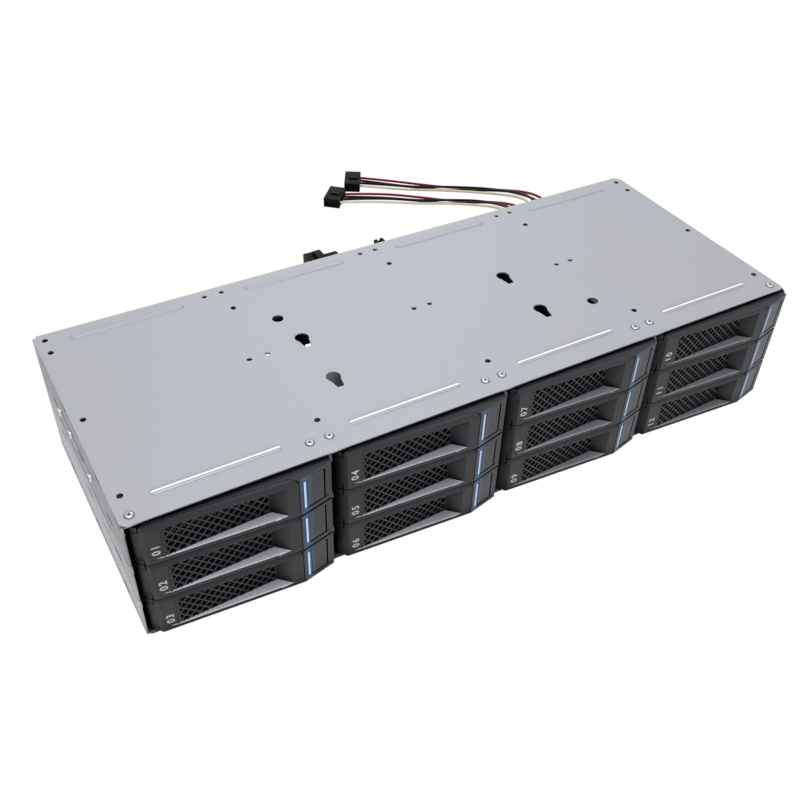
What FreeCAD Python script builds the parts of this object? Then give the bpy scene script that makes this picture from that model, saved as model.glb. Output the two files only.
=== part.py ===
"""Hot swap drive cage for a 2U chassis: twelve removable 3.5-inch drive trays in four columns and three rows.

Frame: +X to the right as seen from the front, +Y to the rear, +Z up. The origin is the centre of the
underside of the bottom plate. All lengths are in millimetres.
"""
import FreeCAD, Part
import math
import os
import Sketcher

COLUMNS = 4
ROWS = 3

SIZES = [
    # the cage
    ("row_pitch", 27.0, "height of one tray bay"),
    ("rear_room", 9.5, "drive's rear to the rear edge of the plates"),
    ("tray_floor", 1.75, "cage underside to the underside of the lowest trays"),
    ("head_room", 1.25, "top bay line to the top of the cage"),
    ("gauge", 0.8, "sheet steel of plates and sides"),
    ("divider_gauge", 1.2, "two sheets of a divider, back to back"),
    ("flange_width", 10.0, "bent flange, measured from the wall's outer face or centre line"),
    ("corner_round", 4.0, "corners of the top and bottom plates"),
    ("wall_setback", 0.5, "front edges of walls behind the plate edge"),
    ("ear_radius", 2.6, "rounded ears on the front edge of each wall"),
    ("ear_drop", 2.2, "ear centre below the bay line"),
    ("ear_setback", 0.4, "ear centre behind the wall's front edge"),
    ("lance_length", 10.0, "lanced guide tab, along the wall"),
    ("lance_height", 2.2, "window that a tab leaves"),
    ("lance_reach", 1.8, "tab tip from the column line"),
    ("lance_front", 31.5, "centre of the first tab behind the plate edge"),
    ("lance_spacing", 52.0, "tab to tab along the wall"),
    # holes and beads of the plates
    ("hole_radius", 1.75, "plain plate holes, M3 clearance"),
    ("hole_inset", 6.0, "edge holes from the side of the plate"),
    ("corner_screw_y", 6.6, "corner screw behind the front edge"),
    ("second_hole_y", 21.0, "edge hole behind the corner screw"),
    ("middle_hole_y", 84.0, "edge hole at half depth"),
    ("rear_hole_inset", 18.5, "edge hole in front of the last one, from the rear edge"),
    ("last_hole_inset", 5.5, "edge hole at the rear corner, from the rear edge"),
    ("joint_offset", 5.6, "flange screws either side of a divider"),
    ("joint_front_y", 11.7, "front flange screws"),
    ("joint_middle_y", 91.2, "middle flange joints"),
    ("pilot_front_y", 25.9, "tooling hole beside each divider, front"),
    ("pilot_rear_inset", 25.0, "tooling hole beside each divider, from the rear edge"),
    ("key_radius", 4.3, "keyhole, screw head end"),
    ("key_slot_radius", 2.0, "keyhole, shank end"),
    ("key_slot_length", 9.7, "keyhole, head centre to shank centre"),
    ("key_neck", 3.655, "keyhole, half width of the slot at the head's centre"),
    ("key_spacing_x", 143.2, "keyhole to keyhole across the plate"),
    ("key_spacing_y", 41.2, "keyhole to keyhole along the plate"),
    ("key_offset_x", 7.7, "keyhole pattern left of the plate's middle"),
    ("key_front_y", 54.8, "front keyhole heads behind the plate edge"),
    ("sight_radius", 3.5, "round holes beside the keyholes"),
    ("sight_left_x", 84.0, "left round hole from the plate's middle"),
    ("sight_left_y", 119.9, "left round hole behind the plate edge"),
    ("sight_right_x", 98.0, "right round hole from the plate's middle"),
    ("sight_right_y", 46.1, "right round hole behind the plate edge"),
    ("bead_length", 67.0, "stiffening bead over each column"),
    ("bead_width", 2.4, "stiffening bead"),
    ("bead_height", 0.5, "stiffening bead above the plate"),
    ("bead_start", 20.8, "bead from the left of its column"),
    ("bead_front_y", 16.0, "front beads behind the plate edge"),
    ("bead_rear_inset", 8.9, "rear beads from the rear edge"),
    ("foot_inset_x", 18.0, "chassis screw holes in the bottom plate, from its sides"),
    ("foot_inset_y", 19.75, "chassis screw holes in the bottom plate, from front and rear"),
    ("side_screw_drop", 21.2, "side wall screws below the wall's top"),
    ("side_screw_front_y", 63.3, "first side wall screw behind the plate edge"),
    ("side_screw_middle_y", 101.5, "second side wall screw"),
    ("side_screw_rear_y", 122.8, "third side wall screw"),
    # the tray
    ("face_height", 26.2, "tray front, top to bottom"),
    ("side_gap", 1.2, "column line to the tray front's side"),
    ("corner_x", 8.6, "front corner of the handle"),
    ("corner_out", 3.5, "front corner before the plate edge"),
    ("kink_inset", 21.0, "ridge where the front turns back, from the next column line"),
    ("lip_inset", 4.9, "shelf's step in front of the ridge"),
    ("kink_out", 8.7, "ridge before the plate edge"),
    ("end_out", 3.9, "right end before the plate edge"),
    ("front_depth", 9.0, "rear of the tray front behind the plate edge"),
    ("shelf_wall", 2.0, "top and bottom of the tray front"),
    ("front_wall", 1.8, "front wall beside the light pipe"),
    ("drive_width", 101.6, "3.5-inch drive"),
    ("drive_length", 147.0, "3.5-inch drive"),
    ("drive_front", 11.0, "drive behind the plate edge"),
    ("drive_gap", 0.1, "drive to rail, each side"),
    ("rail_wall", 1.6, "side rail"),
    ("rail_setback", 2.0, "rail's outer face from the column line"),
    ("rail_low", 1.0, "rail foot above the tray's underside"),
    ("rail_top", 22.4, "rail top above the tray's underside"),
    ("rib_reach", 0.7, "guide rib beyond the rail"),
    ("groove_low", 2.0, "guide groove, lower side"),
    ("groove_high", 3.8, "guide groove, upper side"),
    ("rib_height", 1.0, "guide ribs"),
    ("fixing_radius", 1.9, "drive screw holes in the rails"),
    ("fixing_first", 28.5, "first drive screw behind the drive's front"),
    ("fixing_last", 16.9, "last drive screw before the drive's rear"),
    ("fixing_height", 6.6, "drive screws above the tray's underside"),
    ("rear_bar_height", 1.9, "bar across the rear of the tray"),
    ("rear_bar_depth", 1.8, "bar across the rear of the tray"),
    # handle, hinge, light pipe and button
    ("handle_wall", 3.0, "handle plate"),
    ("handle_gap", 0.4, "handle to tray front"),
    ("bevel_height", 0.85, "bevel along the handle's top, down its front"),
    ("bevel_width", 2.6, "bevel along the handle's top, to the rear"),
    ("pivot_x", 5.2, "hinge pin from the column line"),
    ("pivot_y", 3.3, "hinge pin behind the plate edge"),
    ("knuckle_radius", 2.4, "handle's knuckle"),
    ("knuckle_low", 3.6, "knuckle above the tray's underside"),
    ("knuckle_high", 22.6, "knuckle top"),
    ("ear_clearance", 0.4, "knuckle to the ears that carry it"),
    ("sweep_radius", 5.3, "handle cut back about the pin, beside the ears"),
    ("pin_radius", 1.2, "hinge pin"),
    ("pin_play", 0.08, "pin in its bores, radial"),
    ("recess_left", 16.0, "finger recess, shallow end"),
    ("recess_ramp", 7.0, "finger recess, deepest corner to the right edge"),
    ("recess_deep_y", 1.6, "deepest corner before the plate edge"),
    ("recess_inset", 7.0, "finger recess, right edge to the ridge"),
    ("recess_low", 3.25, "recess floor above the tray's underside"),
    ("recess_high", 22.9, "recess ceiling"),
    ("grille_wall", 1.2, "grille and recess walls"),
    ("mesh_pitch", 7.4, "grille openings, centre to centre"),
    ("mesh_web", 1.0, "web between openings"),
    ("mesh_left", 21.8, "first grille opening"),
    ("mesh_low", 7.5, "lowest grille opening"),
    ("hook_inset", 7.4, "latch hook behind the handle, from the ridge"),
    ("hook_wall", 1.6, "latch hook's stem"),
    ("hook_barb", 1.0, "latch hook's nose beyond its stem"),
    ("hook_nose", 1.4, "latch hook's nose, front to rear"),
    ("hook_end", 0.8, "rear of the latch hook behind the plate edge"),
    ("latch_height", 3.2, "latch hook and latch tongue"),
    ("latch_gap", 2.2, "hook to the button's latch tongue"),
    ("pipe_inset", 1.9, "light pipe from the ridge"),
    ("pipe_width", 1.8, "light pipe"),
    ("pipe_low", 4.3, "light pipe above the tray's underside"),
    ("pipe_high", 23.2, "light pipe top"),
    ("pipe_depth", 7.0, "light pipe, front to rear"),
    ("button_inset", 1.2, "release button from the light pipe"),
    ("button_margin", 6.25, "release button from the next column line"),
    ("button_low", 3.9, "release button above the tray's underside"),
    ("button_high", 23.8, "release button top"),
    ("button_wall", 2.2, "release button's face"),
    ("button_gap", 0.35, "button to its opening"),
    ("button_travel", 2.0, "press of the button"),
    # backplane
    ("board_wall", 1.6, "circuit board"),
    ("board_margin", 2.0, "board inside the cage's outline"),
    ("board_hole_radius", 1.6, "board screws"),
    ("vent_width", 24.0, "air window in the board"),
    ("vent_height", 11.0, "air window in the board"),
    ("socket_x", 36.0, "drive socket centre from the column line"),
    ("socket_low", 2.6, "drive socket above the tray's underside"),
    ("socket_width", 42.0, "drive socket"),
    ("socket_height", 6.6, "drive socket"),
    ("socket_gap", 0.6, "drive socket behind the drive"),
    ("screw_head", 2.15, "screw head radius"),
    ("screw_head_height", 0.8, "screw head"),
    ("screw_shank", 1.4, "screw shank radius"),
    # harness
    ("header_inset", 70.0, "inner power header from the cage's right side"),
    ("header_spacing", 23.0, "power header to power header"),
    ("header_height", 58.0, "power headers above the floor"),
    ("header_width", 20.4, "power header"),
    ("header_depth", 12.2, "power header behind the board"),
    ("plug_pitch", 5.0, "contact to contact in a plug"),
    ("contact_radius", 1.2, "contact holes of a plug"),
    ("plug_length", 14.0, "lead plug"),
    ("plug_width", 23.0, "lead plug"),
    ("plug_height", 8.4, "lead plug"),
    ("wire_diameter", 2.1, "18 AWG wire over its insulation"),
]

doc = FreeCAD.newDocument("hot_swap_drive_cage")
dims = doc.addObject("Spreadsheet::Sheet", "dims")
for row, (alias, size, meaning) in enumerate(SIZES, start=1):
    dims.set(f"A{row}", meaning)
    dims.set(f"B{row}", str(size))
    dims.setAlias(f"B{row}", alias)
doc.recompute()

# Expressions that several pieces share. Each is a string that the document evaluates.
COLUMN_PITCH = "(dims.drive_width + 2 * (dims.drive_gap + dims.rail_wall + dims.rail_setback))"
CAGE_DEPTH = "(dims.drive_front + dims.drive_length + dims.rear_room)"
REAR_HOLE_Y = f"({CAGE_DEPTH} - dims.rear_hole_inset)"
LAST_HOLE_Y = f"({CAGE_DEPTH} - dims.last_hole_inset)"
PILOT_REAR_Y = f"({CAGE_DEPTH} - dims.pilot_rear_inset)"
BEAD_REAR_Y = f"({CAGE_DEPTH} - dims.bead_rear_inset)"
FOOT_HOLE_X = f"({COLUMNS} * {COLUMN_PITCH} - 2 * dims.foot_inset_x)"
FOOT_HOLE_Y = f"({CAGE_DEPTH} - 2 * dims.foot_inset_y)"
KINK_X = f"({COLUMN_PITCH} - dims.kink_inset)"
RECESS_RIGHT = f"({KINK_X} - dims.recess_inset)"
RECESS_DEEP_X = f"({RECESS_RIGHT} - dims.recess_ramp)"
HOOK_X = f"({KINK_X} - dims.hook_inset)"
PIPE_LEFT = f"({KINK_X} + dims.pipe_inset)"
BUTTON_LEFT = f"({PIPE_LEFT} + dims.pipe_width + dims.button_inset)"
BUTTON_RIGHT = f"({COLUMN_PITCH} - dims.button_margin)"
FIXING_SPACING = "(dims.drive_length - dims.fixing_first - dims.fixing_last)"
HEADER_LEFT_X = f"({COLUMNS} / 2 * {COLUMN_PITCH} - dims.header_inset)"
CAGE_WIDTH = f"({COLUMNS} * {COLUMN_PITCH})"
CAGE_HEIGHT = f"(dims.tray_floor + {ROWS} * dims.row_pitch + dims.head_room)"
WALL_HEIGHT = f"({CAGE_HEIGHT} - 2 * dims.gauge)"
LEFT = f"(-{CAGE_WIDTH} / 2)"
FRONT = f"(-{CAGE_DEPTH} / 2)"
FACE_SLOPE = f"((dims.kink_out - dims.corner_out) / ({KINK_X} - dims.corner_x))"
END_X = f"({COLUMN_PITCH} - dims.side_gap)"
END_SLOPE = f"((dims.kink_out - dims.end_out) / ({END_X} - {KINK_X}))"
TRAY_REAR = "(dims.drive_front + dims.drive_length + 0.3 + dims.rear_bar_depth)"
BOARD_REAR = f"({CAGE_DEPTH} + dims.board_wall)"


def evaluate(expression):
    """Number that an expression over the sheet's cells stands for."""
    found = dims.evalExpression(expression.replace("dims.", ""))
    return float(getattr(found, "Value", found))


def face_y(x, depth="0"):
    """Handle's front plane at x, moved to the rear by a depth."""
    return f"(-dims.corner_out - ({x} - dims.corner_x) * {FACE_SLOPE} + {depth})"


def end_y(x, depth="0"):
    """Tray front's plane right of the ridge at x, moved to the rear by a depth."""
    return f"(-dims.kink_out + ({x} - {KINK_X}) * {END_SLOPE} + {depth})"


def bay_x(column):
    return f"({LEFT} + {column} * {COLUMN_PITCH})"


def bay_z(row):
    return f"(dims.tray_floor + {row} * dims.row_pitch)"


# ---------------------------------------------------------------- helpers

def plane_of(body, role):
    for feature in body.Origin.OriginFeatures:
        if feature.Role == role:
            return feature
    raise ValueError(role)


def bind(sketch, kind, first, second, expression):
    """Constraint whose size follows an expression."""
    size = evaluate(expression)
    index = sketch.addConstraint(Sketcher.Constraint(kind, *first, *second, size))
    sketch.setExpression(f"Constraints[{index}]", expression)


def add_polygon(sketch, points):
    corners = [FreeCAD.Vector(evaluate(u), evaluate(v), 0) for u, v in points]
    base = sketch.GeometryCount
    count = len(corners)
    for index in range(count):
        sketch.addGeometry(Part.LineSegment(corners[index], corners[(index + 1) % count]), False)
    for index in range(count):
        following = base + (index + 1) % count
        sketch.addConstraint(Sketcher.Constraint("Coincident", base + index, 2, following, 1))
    for index, (u, v) in enumerate(points):
        bind(sketch, "DistanceX", (-1, 1), (base + index, 1), u)
        bind(sketch, "DistanceY", (-1, 1), (base + index, 1), v)


def add_circle(sketch, u, v, radius):
    centre = FreeCAD.Vector(evaluate(u), evaluate(v), 0)
    circle = sketch.addGeometry(Part.Circle(centre, FreeCAD.Vector(0, 0, 1), evaluate(radius)), False)
    bind(sketch, "DistanceX", (-1, 1), (circle, 3), u)
    bind(sketch, "DistanceY", (-1, 1), (circle, 3), v)
    index = sketch.addConstraint(Sketcher.Constraint("Radius", circle, evaluate(radius)))
    sketch.setExpression(f"Constraints[{index}]", radius)


def rectangle(left, low, right, high):
    return [(left, low), (right, low), (right, high), (left, high)]


def new_body(name):
    body = doc.addObject("PartDesign::Body", name)
    body.Label = name
    return body


def extrude(body, kind, name, plane, start, length, polygons=(), circles=()):
    """Pad or Pocket from start towards the plane's positive axis, over a length."""
    sketch = body.newObject("Sketcher::SketchObject", f"{name}_sketch")
    sketch.AttachmentSupport = [(plane_of(body, f"{plane}_Plane"), "")]
    sketch.MapMode = "FlatFace"
    against = plane == "XZ"
    sketch.setExpression("AttachmentOffset.Base.z", f"-({start})" if against else start)
    for points in polygons:
        add_polygon(sketch, points)
    for u, v, radius in circles:
        add_circle(sketch, u, v, radius)
    feature = body.newObject(f"PartDesign::{kind}", name)
    feature.Profile = sketch
    feature.setExpression("Length", length)
    feature.Reversed = against if kind == "Pad" else not against
    return feature


def pad(body, name, plane, start, length, polygons=(), circles=()):
    return extrude(body, "Pad", name, plane, start, length, polygons, circles)


def pocket(body, name, plane, start, length, polygons=(), circles=()):
    return extrude(body, "Pocket", name, plane, start, length, polygons, circles)


def place(piece, x="0", y="0", z="0"):
    for axis, expression in zip("xyz", (x, y, z)):
        piece.setExpression(f"Placement.Base.{axis}", expression)


def copy_of(master, name, x="0", y="0", z="0"):
    """Piece with another one's shape, at its own place."""
    piece = doc.addObject("Part::Feature", name)
    piece.Label = name
    shape = master.Shape.copy()
    shape.Placement = FreeCAD.Placement()
    piece.Shape = shape
    piece.Placement = FreeCAD.Placement()
    place(piece, x, y, z)
    return piece


def group_of(shapes, name):
    """Identical pieces that share one node, each a solid of its own."""
    piece = doc.addObject("Part::Feature", name)
    piece.Label = name
    piece.Shape = Part.makeCompound(shapes)
    return piece


def moved(shape, x, y, z):
    copy = shape.copy()
    copy.translate(FreeCAD.Vector(evaluate(x), evaluate(y), evaluate(z)))
    return copy


# ---------------------------------------------------------------- cage

def lance_centre(index):
    return f"(dims.lance_front + {index} * dims.lance_spacing)"


def plate_outline():
    return rectangle("0", "0", CAGE_WIDTH, CAGE_DEPTH)


def round_corners(body, pad_feature):
    """Rounded corners of a plate: the fillet takes its four upright edges."""
    doc.recompute()
    names = []
    for index, edge in enumerate(pad_feature.Shape.Edges, start=1):
        if abs(edge.tangentAt(edge.FirstParameter).z) > 0.9:
            names.append(f"Edge{index}")
    fillet = body.newObject("PartDesign::Fillet", f"{body.Label}_corners")
    fillet.Base = (pad_feature, names)
    fillet.setExpression("Radius", "dims.corner_round")
    return fillet


def divider_lines():
    return [f"({number} * {COLUMN_PITCH})" for number in range(1, COLUMNS)]


def flange_joints(depths):
    """Places either side of each divider at the given depths."""
    places = []
    for line in divider_lines():
        for side in ("-", "+"):
            for depth in depths:
                places.append((f"({line} {side} dims.joint_offset)", depth))
    return places


def edge_holes(depths):
    places = []
    for depth in depths:
        places.append(("dims.hole_inset", depth))
        places.append((f"({CAGE_WIDTH} - dims.hole_inset)", depth))
    return places


# Holes of the top plate that go through the flange below it as well.
EDGE_DEPTHS = ("dims.second_hole_y", "dims.middle_hole_y", REAR_HOLE_Y, LAST_HOLE_Y)
JOINT_DEPTHS = ("dims.joint_middle_y", LAST_HOLE_Y)
PILOT_DEPTHS = ("dims.pilot_front_y", PILOT_REAR_Y)


def make_top_plate():
    body = new_body("top_plate")
    blank = pad(body, "top_blank", "XY", "0", "dims.gauge", [plate_outline()])
    round_corners(body, blank)
    through = ("XY", "-1", "3 * dims.gauge + 1")
    places = edge_holes(EDGE_DEPTHS)
    places += flange_joints(JOINT_DEPTHS)
    for line in divider_lines():
        for depth in PILOT_DEPTHS:
            places.append((f"({line} + dims.joint_offset)", depth))
    holes = [(x, y, "dims.hole_radius") for x, y in places]
    pocket(body, "top_holes", *through, circles=holes)
    screws = flange_joints(("dims.joint_front_y",)) + edge_holes(("dims.corner_screw_y",))
    pocket(body, "top_screw_holes", *through, circles=[(x, y, "dims.screw_shank") for x, y in screws])
    middle = f"({CAGE_WIDTH} / 2 - dims.key_offset_x)"
    heads = []
    slots = []
    for side in ("-", "+"):
        x = f"({middle} {side} dims.key_spacing_x / 2)"
        for step in (0, 1):
            y = f"(dims.key_front_y + {step} * dims.key_spacing_y)"
            heads.append((x, y, "dims.key_radius"))
            slots.append([(f"{x} - dims.key_slot_radius", f"{y} - dims.key_slot_length"),
                          (f"{x} + dims.key_slot_radius", f"{y} - dims.key_slot_length"),
                          (f"{x} + dims.key_neck", y), (f"{x} - dims.key_neck", y)])
    heads.append((f"({CAGE_WIDTH} / 2 - dims.sight_left_x)", "dims.sight_left_y", "dims.sight_radius"))
    heads.append((f"({CAGE_WIDTH} / 2 + dims.sight_right_x)", "dims.sight_right_y", "dims.sight_radius"))
    pocket(body, "keyhole_heads", *through, circles=heads)
    pocket(body, "keyhole_slots", *through, polygons=slots)
    beads = []
    for column in range(COLUMNS):
        left = f"({column} * {COLUMN_PITCH} + dims.bead_start)"
        for depth in ("dims.bead_front_y", BEAD_REAR_Y):
            beads.append(rectangle(left, f"{depth} - dims.bead_width / 2",
                                   f"{left} + dims.bead_length", f"{depth} + dims.bead_width / 2"))
    pad(body, "top_beads", "XY", "dims.gauge", "dims.bead_height", beads)
    place(body, LEFT, FRONT, f"{CAGE_HEIGHT} - dims.gauge")
    return body


def foot_holes():
    """Rectangle of chassis screw holes about the middle of the bottom plate."""
    places = []
    for across in ("-", "+"):
        for along in ("-", "+"):
            places.append((f"({CAGE_WIDTH} / 2 {across} {FOOT_HOLE_X} / 2)",
                           f"({CAGE_DEPTH} / 2 {along} {FOOT_HOLE_Y} / 2)"))
    return places


def make_bottom_plate():
    body = new_body("bottom_plate")
    blank = pad(body, "bottom_blank", "XY", "0", "dims.gauge", [plate_outline()])
    round_corners(body, blank)
    through = ("XY", "-1", "dims.gauge + 2")
    pocket(body, "foot_holes", *through, circles=[(x, y, "dims.hole_radius") for x, y in foot_holes()])
    screws = flange_joints(("dims.joint_front_y",)) + edge_holes(("dims.corner_screw_y",))
    pocket(body, "bottom_screw_holes", *through,
           circles=[(x, y, "dims.screw_shank") for x, y in screws])
    place(body, LEFT, FRONT)
    return body


def lances():
    """Depth and height of each guide tab, height above the wall's own lower edge."""
    found = []
    for row in range(ROWS):
        base = f"({bay_z(row)} - dims.gauge + (dims.groove_low + dims.groove_high) / 2)"
        for index in range(3):
            found.append((lance_centre(index), base))
    return found


def add_lances(body, name, inner, tip):
    """Windows through a wall with a tab bent out below each, from the wall's face to the tip."""
    windows = []
    tabs = []
    for depth, height in lances():
        start = f"({depth} - dims.lance_length / 2)"
        stop = f"({depth} + dims.lance_length / 2)"
        low = f"({height} + dims.gauge / 2)"
        windows.append(rectangle(start, low, stop, f"{low} + dims.lance_height"))
        tabs.append(rectangle(start, f"{height} - dims.gauge / 2", stop, low))
    pocket(body, f"{name}_windows", "YZ", f"-dims.divider_gauge", "2 * dims.divider_gauge", windows)
    pad(body, f"{name}_tabs", "YZ", inner, tip, tabs)


def wall_ears():
    ears = []
    for row in range(ROWS):
        height = f"({bay_z(row)} + dims.row_pitch - dims.ear_drop - dims.gauge)"
        ears.append(("dims.wall_setback + dims.ear_setback", height, "dims.ear_radius"))
    return ears


def board_screw_heights():
    return ["(dims.row_pitch / 2)", f"({WALL_HEIGHT} - dims.row_pitch / 2)"]


def make_side_plate(name, side):
    """Side wall with inward flanges top, bottom and rear; side is + for the left, - for the right."""
    body = new_body(name)
    height = WALL_HEIGHT
    reach = f"({side} dims.flange_width)"
    wall = f"({side} dims.gauge)"
    under = f"{height} - dims.gauge"
    profile = [("0", "0"), (reach, "0"), (reach, "dims.gauge"), (wall, "dims.gauge"),
               (wall, under), (reach, under), (reach, height), ("0", height)]
    pad(body, f"{name}_channel", "XZ", "dims.wall_setback", f"{CAGE_DEPTH} - dims.wall_setback", [profile])
    low = "0" if side == "+" else "-dims.gauge"
    pad(body, f"{name}_ears", "YZ", low, "dims.gauge", circles=wall_ears())
    tail = rectangle("0", "dims.gauge", reach, f"{height} - dims.gauge")
    pad(body, f"{name}_tail", "XZ", f"{CAGE_DEPTH} - dims.gauge", "dims.gauge", [tail])
    start = low if side == "+" else "-dims.lance_reach"
    add_lances(body, name, start, "dims.lance_reach")
    rear = [(f"({side} dims.hole_inset)", z, "dims.screw_shank") for z in board_screw_heights()]
    pocket(body, f"{name}_board_holes", "XZ", f"{CAGE_DEPTH} - 2", "3", circles=rear)
    joints = [(f"({side} dims.hole_inset)", "dims.corner_screw_y", "dims.screw_shank")]
    pocket(body, f"{name}_joint_holes", "XY", "-1", f"{height} + 2", circles=joints)
    edges = [(f"({side} dims.hole_inset)", depth, "dims.hole_radius") for depth in EDGE_DEPTHS]
    pocket(body, f"{name}_edge_holes", "XY", f"{height} - 2 * dims.gauge", "3 * dims.gauge", circles=edges)
    shanks = [(y, f"{height} - {drop}", "dims.screw_shank") for y, drop in SIDE_SCREWS]
    pocket(body, f"{name}_side_holes", "YZ", "-1", "2", circles=shanks)
    place(body, LEFT if side == "+" else f"-{LEFT}", FRONT, "dims.gauge")
    return body


SIDE_SCREWS = [("dims.side_screw_front_y", "dims.side_screw_drop"),
               ("dims.side_screw_middle_y", "dims.side_screw_drop"),
               ("dims.side_screw_rear_y", "dims.side_screw_drop")]


def make_divider():
    """Wall between two columns: two channels back to back, with flanges to both sides."""
    body = new_body("divider_pattern")
    height = WALL_HEIGHT
    half = "(dims.divider_gauge / 2)"
    reach = "dims.flange_width"
    right = [(reach, "0"), (reach, "dims.gauge"), (half, "dims.gauge"),
             (half, f"{height} - dims.gauge"), (reach, f"{height} - dims.gauge"), (reach, height)]
    left = [(f"-{x}", z) for x, z in reversed(right)]
    length = f"{CAGE_DEPTH} - dims.wall_setback"
    pad(body, "divider_channel", "XZ", "dims.wall_setback", length, [right + left])
    pad(body, "divider_ears", "YZ", f"-{half}", "dims.divider_gauge", circles=wall_ears())
    tail = rectangle(f"-{reach}", "dims.gauge", reach, f"{height} - dims.gauge")
    pad(body, "divider_tail", "XZ", f"{CAGE_DEPTH} - dims.gauge", "dims.gauge", [tail])
    add_lances(body, "divider", "-dims.lance_reach", "2 * dims.lance_reach")
    rear = [(f"-dims.joint_offset", z, "dims.screw_shank") for z in board_screw_heights()]
    pocket(body, "divider_board_holes", "XZ", f"{CAGE_DEPTH} - 2", "3", circles=rear)
    joints = [(f"{side}dims.joint_offset", "dims.joint_front_y", "dims.screw_shank") for side in ("-", "")]
    pocket(body, "divider_joint_holes", "XY", "-1", f"{height} + 2", circles=joints)
    plain = [(f"{side}dims.joint_offset", depth, "dims.hole_radius")
             for side in ("-", "") for depth in JOINT_DEPTHS]
    plain += [("dims.joint_offset", depth, "dims.hole_radius") for depth in PILOT_DEPTHS]
    pocket(body, "divider_plain_holes", "XY", f"{height} - 2 * dims.gauge", "3 * dims.gauge", circles=plain)
    return body


# ---------------------------------------------------------------- tray

def slant_y(x):
    """Slanted left face of the front at x; it runs at 45 degrees through the front corner."""
    return f"(-dims.corner_out + dims.corner_x - ({x}))"


def grille_y(x, depth="0"):
    """Grille plane at x, from the recess's shallow end to its deepest corner."""
    start = face_y("dims.recess_left")
    slope = f"(-dims.recess_deep_y - {start}) / ({RECESS_DEEP_X} - dims.recess_left)"
    return f"({start} + ({x} - dims.recess_left) * {slope} + {depth})"


def rail_profile(side):
    """Rail with two ribs outside that form the guide groove; side is + for the left rail."""
    def across(offset):
        inset = f"(dims.rail_setback + {offset})"
        return inset if side == "+" else f"({COLUMN_PITCH} - {inset})"
    web, inner, rib = across("0"), across("dims.rail_wall"), across("(-dims.rib_reach)")
    top_rib = "(dims.groove_high + dims.rib_height)"
    return [(inner, "dims.rail_low"), (inner, "dims.rail_top"), (web, "dims.rail_top"), (web, top_rib),
            (rib, top_rib), (rib, "dims.groove_high"), (web, "dims.groove_high"), (web, "dims.groove_low"),
            (rib, "dims.groove_low"), (rib, "dims.rail_low")]


LIP_X = f"({KINK_X} - dims.lip_inset)"
SHELF_DEPTH = "(dims.handle_wall + dims.handle_gap)"
WINDOW_LEFT = "(dims.pivot_x + dims.sweep_radius)"
EAR_X = "(dims.pivot_x + 1.1)"
HOOK_TIP = f"({HOOK_X} + dims.hook_wall + dims.hook_barb)"
LATCH_LOW = "((dims.face_height - dims.latch_height) / 2)"


def front_outline():
    """Plan of the tray front: ears at the left, shelf edge behind the handle, ridge and right end."""
    return [("dims.side_gap", "dims.front_depth"),
            ("dims.side_gap", slant_y("dims.side_gap")),
            (EAR_X, slant_y(EAR_X)),
            ("(dims.pivot_x + 1.8)", "(dims.pivot_y - 1.7)"),
            (f"({WINDOW_LEFT} + 0.3)", face_y(f"({WINDOW_LEFT} + 0.3)", SHELF_DEPTH)),
            (LIP_X, face_y(LIP_X, SHELF_DEPTH)),
            (KINK_X, "-dims.kink_out"),
            (END_X, "-dims.end_out"),
            (END_X, "dims.front_depth")]


def airway_outline():
    """Plan of the air window and of the hollow behind the light pipe and the button."""
    rear = "(dims.front_depth + 1)"
    ahead = "(-dims.kink_out + 2)"
    ridge = f"({KINK_X} + 0.4)"
    side = f"({END_X} - dims.front_wall)"
    return [(WINDOW_LEFT, rear), (WINDOW_LEFT, ahead), (f"({LIP_X} - 0.7)", ahead),
            (LIP_X, face_y(LIP_X, SHELF_DEPTH)),
            (f"({LIP_X} + 1.1)", face_y(f"({LIP_X} + 1.1)", f"({SHELF_DEPTH} + 1.5)")),
            (ridge, end_y(ridge, "dims.front_wall")), (side, end_y(side, "dims.front_wall")), (side, rear)]


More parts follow.
